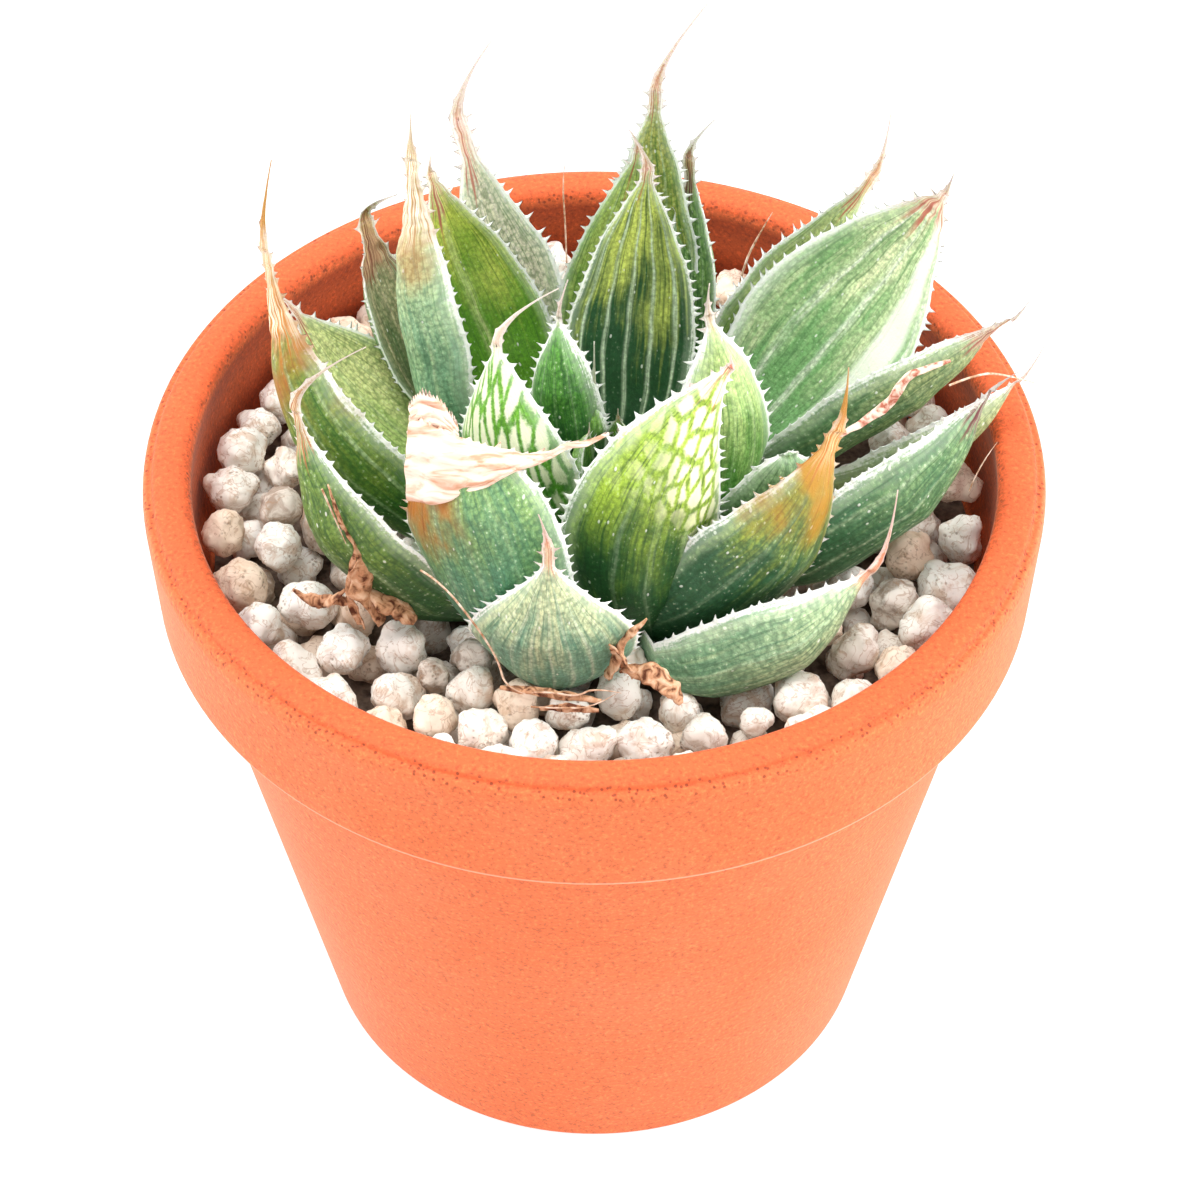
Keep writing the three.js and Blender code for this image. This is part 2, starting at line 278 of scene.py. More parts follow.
def makeTerracotta():
    # red earthenware, pressed on a wheel and fired unglazed: dry and matt, faintly mottled,
    # with a fine sandy grain, scattered pits and a paler bloom of salts
    material, tree, skin, _ = newMaterial("terracotta, pressed and fired unglazed")
    place = addNode(tree, "ShaderNodeTexCoord").outputs["Object"]

    def calc(operation, a, b=0.0):
        return addNode(tree, "ShaderNodeMath", {0: a, 1: b}, operation=operation).outputs["Value"]

    def fade(value, low, high, top=1.0):
        return addNode(tree, "ShaderNodeMapRange", {"Value": value, "From Min": low, "From Max": high,
                       "To Max": top}).outputs["Result"]

    def blend(share, a, b, how="MIX"):
        return addNode(tree, "ShaderNodeMix", {"Factor": share, "A": a, "B": b}, data_type="RGBA",
                       blend_type=how).outputs["Result"]

    height = addNode(tree, "ShaderNodeSeparateXYZ", {"Vector": place}).outputs["Z"]
    flat = addNode(tree, "ShaderNodeVectorMath", {0: place, 1: (1, 1, 0)}, operation="MULTIPLY").outputs["Vector"]
    reach = addNode(tree, "ShaderNodeVectorMath", {0: flat}, operation="LENGTH").outputs["Value"]
    cloud = addNode(tree, "ShaderNodeTexNoise", {"Vector": place, "Scale": 1 / (22 * mm), "Detail": 4,
                    "Roughness": 0.6}).outputs["Fac"]
    grain = addNode(tree, "ShaderNodeTexNoise", {"Vector": place, "Scale": 1 / (0.5 * mm), "Detail": 2,
                    "Roughness": 0.7}).outputs["Fac"]
    body = addNode(tree, "ShaderNodeValToRGB", {"Fac": cloud})
    setStops(body, [(0.3, "#e56b37"), (0.5, "#e86f3c"), (0.72, "#ea7343")])
    # the sponged lip is closer and darker than the collar
    lip = fade(height, 83.7 * mm, 84.2 * mm, 0.8)
    colour = blend(lip, body.outputs["Color"], hexColour("#d95a2a"))
    # painted shade: the inner wall between the lip and the pumice is painted darker and redder, standing in for the
    # shade inside the pot
    between = calc("MULTIPLY", fade(height, 84.4 * mm, 82.6 * mm), fade(height, 69 * mm, 69.6 * mm))
    shaded = calc("MULTIPLY", fade(reach, 48.2 * mm, 47.0 * mm), between)
    colour = blend(calc("MULTIPLY", shaded, 0.95), colour, hexColour("#a84218"))
    speck = addNode(tree, "ShaderNodeValToRGB", {"Fac": grain})
    setStops(speck, [(0.34, 0.66), (0.44, 0.95), (0.56, 1.0), (0.66, 1.35)])
    colour = blend(1.0, colour, speck.outputs["Color"], "MULTIPLY")
    # open pits; the turned band on the lip's shoulder is rougher, so they show most there
    pits = addNode(tree, "ShaderNodeTexVoronoi", {"Vector": place, "Scale": 1 / (2.4 * mm)}).outputs["Distance"]
    bandPits = addNode(tree, "ShaderNodeTexVoronoi", {"Vector": place, "Scale": 1 / (0.7 * mm)}).outputs["Distance"]
    band = calc("MULTIPLY", fade(height, 82.8 * mm, 83.7 * mm), fade(height, 84.8 * mm, 84.5 * mm))
    hollow = calc("MAXIMUM", fade(pits, 0.14, 0.05, 0.3), calc("MULTIPLY", fade(bandPits, 0.34, 0.2), band))
    colour = blend(calc("MULTIPLY", hollow, 0.8), colour, hexColour("#86381a"))
    # painted highlight: the collar's lower edge is painted pale, standing in for the light that the edge catches
    collarEdgeHighlight = calc("MULTIPLY", fade(height, 69.3 * mm, 69.05 * mm), fade(reach, 51.0 * mm, 51.4 * mm, 0.4))
    colour = blend(collarEdgeHighlight, colour, hexColour("#ffd9bd"))
    tree.links.new(colour, skin.inputs["Base Color"])
    turned = addNode(tree, "ShaderNodeCombineXYZ", {"X": reach, "Z": height}).outputs["Vector"]
    rings = addNode(tree, "ShaderNodeTexNoise", {"Vector": turned, "Scale": 1 / (0.9 * mm), "Detail": 2}).outputs["Fac"]
    relief = calc("SUBTRACT", calc("ADD", grain, rings), hollow)
    bump = addNode(tree, "ShaderNodeBump", {"Height": relief, "Strength": 0.45, "Distance": 0.14 * mm})
    tree.links.new(bump.outputs["Normal"], skin.inputs["Normal"])
    skin.inputs["Roughness"].default_value = 0.78
    skin.inputs["IOR"].default_value = 1.5
    skin.inputs["Sheen Weight"].default_value = 0.2
    skin.inputs["Sheen Roughness"].default_value = 0.3
    skin.inputs["Sheen Tint"].default_value = hexColour("#ffe2cf")
    return material


terracotta = makeTerracotta()
settle(turnPot(), "clay_pot", terracotta, ["terracotta_pot"])
print("pot turned")

# ---------- leaves ----------
# foot, tip and awn in mm: start of the blade, end of the flesh, end of the dry bristle
leafDefaults = {
    "trough": 1.0, "bow": 2.0, "sway": 0.0, "point": 1.0, "widest": 0.4,
    "outerLow": "#2f5a33", "outerHigh": "#4f8a3a", "innerLow": "#2f6b35", "innerHigh": "#7fae45",
    "stripes": 9, "outerStripe": 0.25, "innerStripe": 0.6, "stripeColour": "#c4dbb0",
    "window": 0.0, "windowFrom": 0.35, "windowSide": 0.0, "windowColour": "#f2f0bd",
    "fleck": 0.5, "edgeWidth": 0.7, "paleSide": 0.0, "paleColour": "#e6efe6",
    "windowCell": (1.3, 2.2), "paleInside": False, "paleEnd": None, "tipBreadth": 1.3, "awnDark": 0.8,
    "dryFrom": 0.93, "dryColour": "#ecd0b8", "dryDark": "#ad6c52", "burn": 0.0, "burnColour": "#c4701c", "burnSide": 0,
    "rise": (0.12, 0.88), "burnFrom": None, "bands": 1.2, "beads": 0.4,
}
leafPlans = {
    "leaf_bud": {"foot": (0, 0, 84), "tip": (0, 2, 92), "awn": (0, 2, 101), "width": 3, "thick": 1.2,
                 "trough": 0.2, "bow": 0.3, "back": 270, "outerHigh": "#86b550", "fleck": 0.0,
                 "edgeWidth": 0.3, "tipBreadth": 0.7, "dryColour": "#e9edd6", "dryDark": "#cfc8a8"},
    "leaf_inner_dark": {"foot": (-2, 2, 82), "tip": (-4, 6, 101), "awn": (-3, 8, 105), "width": 9, "thick": 3,
                        "bow": 0.5, "back": 250, "outerLow": "#215a26", "outerHigh": "#5f9c3c",
                        "dryFrom": 0.98, "tipBreadth": 0.8},
    "leaf_back_striped": {"foot": (3, 1, 81), "tip": (6, 13, 117), "awn": (4, 15, 121), "width": 15, "thick": 4,
                          "trough": 2.5, "back": 90, "innerLow": "#244f2c", "innerHigh": "#ccd868",
                          "innerStripe": 1.0, "stripes": 11, "fleck": 0.7, "tipBreadth": 1.6,
                          "dryColour": "#f6ddce", "stripeColour": "#d4e6c4", "rise": (0.4, 0.9), "beads": 0.12, "bands": 1.4},
    "leaf_inner_windowed": {"foot": (-5, -6, 80), "tip": (-11, -1, 103), "awn": (-4, 2, 109), "width": 15.5,
                            "thick": 3.5, "back": 240, "outerLow": "#4f9034", "outerHigh": "#6fae2e",
                            "window": 1.0, "windowFrom": 0.1, "windowCell": (1.15, 4.5),
                            "windowColour": "#eff2d0", "dryFrom": 0.97, "dryColour": "#f8e6da",
                            "dryDark": "#e2b8a0", "tipBreadth": 1.5, "beads": 0.2},
    "leaf_center_windowed": {"foot": (6, -17, 75), "tip": (15, -10, 108), "awn": (15, -9, 109), "width": 18,
                             "thick": 4.5, "sway": -5, "back": 275, "outerLow": "#27552c",
                             "outerHigh": "#a6c242", "window": 1.0, "windowFrom": 0.46, "windowSide": 0.2,
                             "windowCell": (1.5, 2.9), "dryColour": "#e08a74", "dryDark": "#c05a48",
                             "dryFrom": 0.94, "windowColour": "#fbf9cc", "rise": (0.2, 0.8), "bands": 0.6, "beads": 0.2},
    "leaf_front_short": {"foot": (-4, -24, 75), "tip": (-5, -31, 101), "awn": (-6, -31, 106), "width": 19,
                         "thick": 3.5, "bow": 1.5, "back": 265, "point": 2.2, "outerLow": "#6a9a80",
                         "outerHigh": "#d2d8a8", "outerStripe": 0.5, "stripes": 17, "stripeColour": "#dce8cc",
                         "dryFrom": 0.86, "dryColour": "#f6ecc4", "dryDark": "#c9553f", "tipBreadth": 1.4, "beads": 0.3, "rise": (0.25, 0.9)},
    "leaf_front_folded": {"foot": (-6, -22, 75), "tip": (-14.5, -20, 106), "awn": (-15, -20, 106.5), "width": 18,
                          "thick": 4.5, "back": 255, "point": 0.5, "widest": 0.68, "outerLow": "#558868",
                          "outerHigh": "#88a860", "burn": 1.0, "burnSide": -1, "dryFrom": 1.02, "burnFrom": 0.62, "rise": (0.4, 1.1), "burnColour": "#a8661f"},
    "leaf_front_amber": {"foot": (6, -17, 76), "tip": (27, -13, 101), "awn": (28, -11, 109), "width": 17,
                         "thick": 4, "bow": 3, "sway": 1.5, "back": 290, "point": 1.2, "outerLow": "#356040",
                         "outerHigh": "#a0b040", "burn": 1.0, "dryFrom": 0.88, "dryColour": "#f2cc98",
                         "dryDark": "#c07838", "tipBreadth": 2.2, "rise": (0.35, 1.05), "burnFrom": 0.6, "burnColour": "#b4842c"},
    "leaf_front_low": {"foot": (8, -24, 76), "tip": (31, -20, 86), "awn": (34, -15, 94), "width": 13, "thick": 4,
                       "trough": 1.5, "bow": 2.5, "back": 300, "point": 1.1, "outerLow": "#6a9672",
                       "outerHigh": "#b2c696", "outerStripe": 0.6, "stripes": 9, "dryFrom": 0.9,
                       "dryColour": "#f4c9aa", "dryDark": "#d4704a", "tipBreadth": 1.8, "beads": 0.4, "bands": 1.5},
    "leaf_left_front": {"foot": (-14, -13, 75), "tip": (-33, -13, 104), "awn": (-25, -11, 112), "width": 16,
                        "thick": 4, "bow": 4, "back": 225, "point": 1.1, "outerLow": "#305c30",
                        "outerHigh": "#6f8c3c", "fleck": 0.9, "dryFrom": 0.88, "dryColour": "#f2d8b8",
                        "dryDark": "#a8683c", "tipBreadth": 1.8, "innerLow": "#3f6c30", "innerHigh": "#8c9c50", "bands": 1.5},
    "leaf_left_outer": {"foot": (-12, -1, 76), "tip": (-37, 5, 112), "awn": (-36, 10, 121), "width": 15,
                        "thick": 4, "trough": 1.5, "bow": 7, "back": 225, "point": 1.3, "outerLow": "#3f7430",
                        "outerHigh": "#8c9c40", "outerStripe": 0.5, "burn": 1.0, "dryFrom": 0.77,
                        "dryColour": "#f6e6cc", "dryDark": "#b87830", "burnColour": "#a4681e",
                        "tipBreadth": 1.8, "innerLow": "#4a7c28", "innerHigh": "#8ca43c", "stripes": 11, "innerStripe": 0.4, "burnFrom": 0.58},
    "leaf_center_right": {"foot": (12, -4, 79), "tip": (13, 3, 104), "awn": (13, 4, 108), "width": 13,
                          "thick": 3.5, "bow": 1, "sway": 1.5, "back": 290, "point": 1.1,
                          "outerLow": "#5c9440", "outerHigh": "#c0d488", "edgeWidth": 1.0, "beads": 0.2},
    "leaf_right_hidden": {"foot": (16, -5, 80), "tip": (22, -8, 93), "awn": (22, -8, 93.4), "width": 12,
                          "thick": 3, "trough": 0.5, "bow": 1, "back": 300, "point": 0.42,
                          "outerLow": "#5f8a58", "outerHigh": "#86a878", "dryFrom": 2.5, "tipBreadth": 3},
    "leaf_right_broad": {"foot": (16, 7, 80), "tip": (40, 17, 110), "awn": (41, 17, 113), "width": 22,
                         "thick": 4.5, "trough": 3.5, "bow": 1, "back": 40, "point": 0.9,
                         "innerLow": "#76a868", "innerHigh": "#dbe4b4", "innerStripe": 0.8, "edgeWidth": 1.1,
                         "paleSide": -0.3, "stripes": 9, "fleck": 0.8, "dryFrom": 0.87,
                         "dryColour": "#f2d8c0", "dryDark": "#b8705c", "rise": (0.2, 1.0), "bands": 1.6, "paleInside": True, "paleEnd": 0.82, "paleColour": "#eef2e2", "beads": 0.25, "stripeColour": "#eef4e0"},
    "leaf_right_dark": {"foot": (18, -9, 77), "tip": (45, -3, 98), "awn": (48, -3, 101), "width": 15, "thick": 4,
                        "trough": 2, "back": 320, "outerLow": "#41704a", "outerHigh": "#84a46c",
                        "outerStripe": 0.5, "innerStripe": 0.5, "edgeWidth": 0.8, "dryFrom": 0.88,
                        "dryColour": "#a87a78", "dryDark": "#6a3a3a", "innerLow": "#3f6c44", "innerHigh": "#8caa6c", "stripes": 11, "rise": (0.3, 1.1), "bands": 1.6},
    "leaf_right_slim": {"foot": (20, 5, 80), "tip": (48, 9, 98), "awn": (50, 9, 101), "width": 13, "thick": 3.5,
                        "trough": 1.5, "bow": -1, "back": 330, "point": 1.1, "outerLow": "#5c8458",
                        "outerHigh": "#a8b47c", "dryFrom": 0.84, "dryColour": "#d8b49c", "dryDark": "#9a6452", "innerLow": "#7c9c68", "innerHigh": "#c4c89c", "stripes": 9, "bands": 1.6},
    "leaf_right_small": {"foot": (30, 4, 79), "tip": (49, 6, 91), "awn": (52, 7, 96), "width": 9, "thick": 3,
                         "bow": 0.5, "back": 330, "outerLow": "#7f9460", "outerHigh": "#b4bd85", "innerLow": "#8c9c60", "innerHigh": "#c4c08c"},
    "leaf_back_shoulder": {"foot": (1, 8, 80), "tip": (5, 21, 113), "awn": (4, 20, 117), "width": 14,
                           "thick": 3.5, "trough": 2, "back": 90, "innerLow": "#4a8a34", "innerHigh": "#c0d070", "beads": 0.2},
    "leaf_back_tall": {"foot": (5, 13, 78), "tip": (7, 27, 117), "awn": (13, 33, 125), "width": 12.5,
                       "thick": 3.5, "trough": 2, "back": 85, "point": 1.2, "innerLow": "#4a883a",
                       "innerHigh": "#b8b662", "fleck": 1.0, "dryFrom": 0.93, "dryDark": "#a8604c",
                       "tipBreadth": 1.6},
    "leaf_back_narrow": {"foot": (10, 11, 79), "tip": (11, 26, 108), "awn": (14, 28, 112), "width": 8,
                         "thick": 3, "bow": 1, "back": 60, "point": 1.1, "innerHigh": "#86a860", "fleck": 0.8,
                         "dryFrom": 0.88, "dryColour": "#a87a60", "dryDark": "#5a3a30", "tipBreadth": 1.6},
    "leaf_back_right": {"foot": (13, 20, 77), "tip": (33, 30, 102), "awn": (35, 35, 107), "width": 11,
                        "thick": 3.5, "trough": 2, "bow": 1, "back": 37, "point": 1.3, "innerLow": "#7fa050",
                        "innerHigh": "#bcc684", "dryFrom": 0.88, "dryColour": "#e8bc98", "tipBreadth": 1.5, "beads": 0.25},
    "leaf_left_bright": {"foot": (-6, 9, 80), "tip": (-19, 24, 107), "awn": (-19, 25, 109), "width": 14,
                         "thick": 3.5, "trough": 2, "back": 120, "innerLow": "#58901c", "innerHigh": "#c4cc58",
                         "stripes": 4, "innerStripe": 0.6, "stripeColour": "#dfe8a0", "dryFrom": 0.88, "dryColour": "#f4e4c0", "beads": 0.15, "bands": 0.9, "rise": (0.35, 1.0)},
    "leaf_back_left": {"foot": (-5, 14, 79), "tip": (-16, 34, 107), "awn": (-12, 39, 115), "width": 12.5,
                       "thick": 3.5, "trough": 1.5, "back": 110, "point": 1.7, "innerLow": "#7fa060",
                       "innerHigh": "#d8d2b8", "innerStripe": 0.8, "dryFrom": 0.82, "dryColour": "#f0d4c4",
                       "dryDark": "#b87a68", "tipBreadth": 2.0, "stripeColour": "#eee6d6", "edgeWidth": 1.1, "rise": (-0.1, 0.7)},
    "leaf_left_upright": {"foot": (-15, 8, 79), "tip": (-21, 22, 111), "awn": (-21, 23, 117), "width": 10,
                          "thick": 3.5, "bow": 1, "back": 225, "point": 1.0, "outerLow": "#7caa88",
                          "outerHigh": "#bccf9c", "outerStripe": 0.6, "paleSide": -0.5, "burn": 0.5,
                          "dryFrom": 0.73, "dryColour": "#fbf2de", "dryDark": "#b08858", "tipBreadth": 2.6, "awnDark": 0.3},
    "leaf_left_low": {"foot": (-13, 4, 78), "tip": (-35, 15, 94), "awn": (-38, 17, 96), "width": 17,
                      "thick": 3.5, "trough": 2, "back": 153, "innerLow": "#9cb866", "innerHigh": "#dce09c",
                      "fleck": 0.8, "innerStripe": 0.25, "bands": 1.6},
    "leaf_left_curled": {"foot": (-14, 10, 79), "tip": (-27, 25, 99), "awn": (-23, 24, 104), "width": 11,
                         "thick": 3, "trough": 1.5, "back": 140, "point": 0.9, "innerLow": "#5c7848",
                         "innerHigh": "#a4a078", "dryFrom": 0.76, "dryColour": "#c8a27c", "dryDark": "#7a4a34",
                         "tipBreadth": 2.6, "innerStripe": 0.9, "stripes": 7, "stripeColour": "#d0c49c"},
}
leafGrid = {"rowGap": 0.22, "awnRows": 16, "outer": 20, "inner": 14, "toothGap": 1.5, "toothLength": 0.8}


def breadth(share, plan):
    # share of the greatest breadth: rounds out from the foot, then draws in to the tip
    if share < plan["widest"]:
        return 0.55 + 0.45 * math.sin(math.pi / 2 * share / plan["widest"])
    rest = (share - plan["widest"]) / (1 - plan["widest"])
    return 0.92 * max(0.0, math.cos(math.pi / 2 * rest)) ** plan["point"] + 0.08 * (1 - rest)


def bend(points, share):
    first, middle, last = points
    return first * (1 - share) ** 2 + middle * 2 * share * (1 - share) + last * share * share


def bendDirection(points, share):
    first, middle, last = points
    return ((middle - first) * (1 - share) + (last - middle) * share).normalized()


def growLeaf(name, plan, seed):
    # a grid rolled into a blade: columns run round the section, rows run from foot to bristle
    dice = random.Random(seed)
    foot, tip, awn = Vector(plan["foot"]), Vector(plan["tip"]), Vector(plan["awn"])
    chord = (tip - foot).normalized()
    angle = math.radians(plan["back"])
    outward = Vector((math.cos(angle), math.sin(angle), 0))
    outward = (outward - chord * outward.dot(chord)).normalized()
    side = chord.cross(outward)
    middle = (foot + tip) / 2 + outward * 2 * plan["bow"] + side * 2 * plan["sway"]
    blade = (foot, middle, tip)
    flow = bendDirection(blade, 1)
    bristle = (tip, tip + flow * (awn - tip).length * 0.3, awn)
    length = (tip - foot).length
    rows, around = int(length / leafGrid["rowGap"]) + 7, leafGrid["outer"] + leafGrid["inner"]
    tipHalf = plan["tipBreadth"] / 2
    reach = math.hypot(foot.x, foot.y)
    drift = Vector((dice.random() * 50, dice.random() * 50, dice.random() * 50))
    rings = []
    for r in range(rows + leafGrid["awnRows"]):
        if r < 6:  # the sheath that runs back to the crown
            t = r / 6
            start = Vector((foot.x, foot.y, 0)) * min(1, 11 / max(reach, 0.1))
            start.z = foot.z - 4
            place = start.lerp(foot, t)
            rings.append((place, bendDirection(blade, 0), plan["width"] / 2 * (0.48 + 0.07 * t), 0.5 + 0.1 * t, 0.0, (r - 6) * 0.4))
        elif r < rows:
            share = (r - 6) / (rows - 7)
            wide = breadth(share, plan)
            rings.append((bend(blade, share), bendDirection(blade, share), max(tipHalf, wide * plan["width"] / 2),
                          min(1, 1.15 * wide), share, share * length))
        else:
            t = (r - rows + 1) / leafGrid["awnRows"]
            rings.append((bend(bristle, t), bendDirection(bristle, t), (tipHalf - 0.08) * (1 - t) ** 1.9 + 0.08,
                          0.1 * (1 - t) ** 1.5 + 0.012, 1 + t, length + t * (awn - tip).length))
    toothLeft = [0.0] * len(rings)
    toothRight = [0.0] * len(rings)
    for marks in (toothLeft, toothRight):
        row = 8 + dice.randrange(5)
        while row < rows + leafGrid["awnRows"] // 2:
            tooth = dice.uniform(0.35, 1.3) * leafGrid["toothLength"] * (1 if row < rows else 0.35)
            for step, part in ((-1, 0.12), (0, 1.0), (1, 0.25)):
                marks[row + step] = max(marks[row + step], tooth * part)
            row += max(3, round(dice.gauss(1, 0.28) * leafGrid["toothGap"] / leafGrid["rowGap"]))
    coords, across, along, edge, lengths, sides, face = [], [], [], [], [], [], []
    for r, (place, ahead, half, depth, share, distance) in enumerate(rings):
        out = (outward - ahead * outward.dot(ahead)).normalized()
        flank = ahead.cross(out)
        keel = depth * (plan["thick"] + plan["trough"])
        hollow = depth * plan["trough"]
        dryness = smoothStep(plan["dryFrom"] - 0.04, plan["dryFrom"] + 0.1, share)
        for c in range(around + 1):
            if c <= leafGrid["outer"]:
                a = -math.cos(math.pi * c / leafGrid["outer"])
                level = keel * (1 - abs(a) ** 2.2) * (0.96 + 0.04 * (1 - abs(a)))
                inside = 0.0
            else:
                a = math.cos(math.pi * (c - leafGrid["outer"]) / leafGrid["inner"])
                level = hollow * (1 - a * a)
                inside = 1.0
            level -= dryness * max(0, level - hollow) * 0.45
            spot = place + flank * (a * half) + out * level
            if abs(a) > 0.999:
                tooth = toothRight[r] if a > 0 else toothLeft[r]
                if share > 0.02:
                    spot += flank * math.copysign(tooth, a) + ahead * (tooth * 0.5) - out * (tooth * 0.15)
            ripple = noise.noise_vector(spot * 0.22 + drift) * 0.28 + noise.noise_vector(spot * 0.9 + drift) * 0.35 * dryness
            if share > 0:
                spot += ripple * min(1, half / 2)
            coords.append(spot * mm)
            across.append(a)
            along.append(share)
            edge.append((1 - abs(a)) * half)
            lengths.append(distance)
            sides.append(a * half)
            face.append(inside)
    deselectAll()
    bpy.ops.mesh.primitive_grid_add(x_subdivisions=around, y_subdivisions=len(rings) - 1, size=1)
    leaf = bpy.context.object
    mesh = leaf.data
    mesh.vertices.foreach_set("co", [value for spot in coords for value in spot])
    for key, values in (("across", across), ("along", along), ("edge", edge), ("lengthMm", lengths),
                        ("sideMm", sides), ("inside", face)):
        setAttribute(mesh, key, values)
    mesh.update()
    bpy.ops.object.mode_set(mode="EDIT")
    bpy.ops.mesh.select_all(action="SELECT")
    bpy.ops.mesh.remove_doubles(threshold=2e-6)
    bpy.ops.mesh.select_all(action="DESELECT")
    bpy.ops.mesh.select_non_manifold()
    bpy.ops.mesh.fill_holes(sides=0)
    bpy.ops.mesh.select_all(action="SELECT")
    bpy.ops.mesh.normals_make_consistent(inside=False)
    bpy.ops.object.mode_set(mode="OBJECT")
    bpy.ops.object.shade_smooth()
    return leaf


def makeLeafSkin(name, plan):
    # living epidermis over water-filled cells: satin, slightly translucent, finely grained,
    # with pale veins, clear windows, white flecks, a thin colourless margin and a dry tip
    material, tree, skin, _ = newMaterial("leaf skin, " + name.replace("_", " "))

    def read(attribute):
        return addNode(tree, "ShaderNodeAttribute", attribute_name=attribute).outputs["Fac"]

    def calc(operation, a, b=0.0, clamp=False):
        return addNode(tree, "ShaderNodeMath", {0: a, 1: b}, operation=operation, use_clamp=clamp).outputs["Value"]

    def fade(value, low, high, bottom=0.0, top=1.0):
        return addNode(tree, "ShaderNodeMapRange", {"Value": value, "From Min": low, "From Max": high,
                       "To Min": bottom, "To Max": top}, interpolation_type="SMOOTHSTEP").outputs["Result"]

    def blend(share, a, b, how="MIX"):
        return addNode(tree, "ShaderNodeMix", {"Factor": share, "A": a, "B": b}, data_type="RGBA",
                       blend_type=how).outputs["Result"]

    across, along, edge = read("across"), read("along"), read("edge")
    lengthMm, sideMm, inside = read("lengthMm"), read("sideMm"), read("inside")
    outside = calc("SUBTRACT", 1.0, inside)
    place = addNode(tree, "ShaderNodeTexCoord").outputs["Object"]

    def sheet(side, sideScale, lengthScale):
        # a flat map of the blade, unrolled
        return addNode(tree, "ShaderNodeCombineXYZ", {"X": calc("MULTIPLY", side, sideScale),
                       "Y": calc("MULTIPLY", lengthMm, lengthScale), "Z": calc("MULTIPLY", inside, 7.0)}).outputs["Vector"]

    cloud = addNode(tree, "ShaderNodeTexNoise", {"Vector": sheet(sideMm, 1 / 5, 1 / 8), "Scale": 1.0, "Detail": 3}).outputs["Fac"]
    streaks = addNode(tree, "ShaderNodeTexNoise", {"Vector": sheet(across, 7.0, 1 / 22), "Scale": 1.0, "Detail": 4,
                      "Roughness": 0.62}).outputs["Fac"]
    fine = addNode(tree, "ShaderNodeTexNoise", {"Vector": sheet(across, 26.0, 1 / 9), "Scale": 1.0, "Detail": 2}).outputs["Fac"]
    grain = addNode(tree, "ShaderNodeTexNoise", {"Vector": place, "Scale": 1 / (0.5 * mm), "Detail": 3, "Roughness": 0.75}).outputs["Fac"]
    bands = calc("ADD", calc("MULTIPLY", calc("SUBTRACT", cloud, 0.5), 0.9),
                 calc("MULTIPLY", calc("SUBTRACT", streaks, 0.5), plan["bands"]))
    rise = fade(calc("ADD", along, bands), *plan["rise"])
    low = blend(inside, hexColour(plan["outerLow"]), hexColour(plan["innerLow"]))
    high = blend(inside, hexColour(plan["outerHigh"]), hexColour(plan["innerHigh"]))
    colour = blend(rise, low, high)
    # long dark and light lines under the skin, and a few pale veins that meet at the tip
    colour = blend(fade(fine, 0.52, 0.66, 0.0, 0.6), colour, blend(0.5, low, hexColour("#16381c")))
    wave = calc("SINE", calc("ADD", calc("MULTIPLY", across, math.pi * plan["stripes"] / 2),
                             calc("MULTIPLY", streaks, 2.2)))
    vein = calc("POWER", calc("ADD", calc("MULTIPLY", wave, 0.5), 0.5), 12.0)
    strength = calc("ADD", calc("MULTIPLY", inside, plan["innerStripe"]), calc("MULTIPLY", outside, plan["outerStripe"]))
    vein = calc("MULTIPLY", vein, calc("MULTIPLY", strength, fade(fine, 0.35, 0.55, 0.25, 1.0)))
    colour = blend(calc("MULTIPLY", vein, 0.9), colour, hexColour(plan["stripeColour"]))
    # rows of small clear beads with darker green between them
    beads = addNode(tree, "ShaderNodeTexVoronoi", {"Vector": sheet(sideMm, 1 / 0.42, 1 / 0.62), "Scale": 1.0,
                    "Randomness": 0.8}).outputs["Distance"]
    between = fade(beads, 0.42, 0.75, 0.0, 0.15 + plan["beads"])
    colour = blend(between, colour, blend(0.6, low, hexColour("#1c4420")))
    bead = calc("MULTIPLY", fade(beads, 0.36, 0.12), calc("MULTIPLY", fade(grain, 0.42, 0.6), plan["beads"]))
    colour = blend(bead, colour, hexColour("#dfecc8"))
    shade = fade(grain, 0.38, 0.62, 0.72, 1.32)
    speckle = addNode(tree, "ShaderNodeCombineColor", {"Red": shade, "Green": shade, "Blue": shade}).outputs["Color"]
    colour = blend(0.6, colour, speckle, "MULTIPLY")
    # windows: clear oval cells between green walls
    if plan["window"]:
        cellWide, cellLong = plan["windowCell"]
        cells = addNode(tree, "ShaderNodeCombineXYZ", {"X": calc("MULTIPLY", sideMm, 1 / cellWide),
                        "Y": calc("MULTIPLY", lengthMm, 1 / cellLong)}).outputs["Vector"]
        wall = addNode(tree, "ShaderNodeTexVoronoi", {"Vector": cells, "Scale": 1.0, "Randomness": 0.9},
                       feature="DISTANCE_TO_EDGE", voronoi_dimensions="2D").outputs["Distance"]
        clear = fade(calc("ADD", wall, calc("MULTIPLY", calc("SUBTRACT", grain, 0.5), 0.3)), 0.06, 0.26)
        lean = calc("MULTIPLY", across, plan["windowSide"])
        region = fade(calc("ADD", calc("ADD", along, lean), calc("MULTIPLY", calc("SUBTRACT", cloud, 0.5), 0.6)),
                      plan["windowFrom"], plan["windowFrom"] + 0.3)
        clear = calc("MULTIPLY", calc("MULTIPLY", clear, region), calc("MULTIPLY", outside, plan["window"]))
        colour = blend(clear, colour, hexColour(plan["windowColour"]))
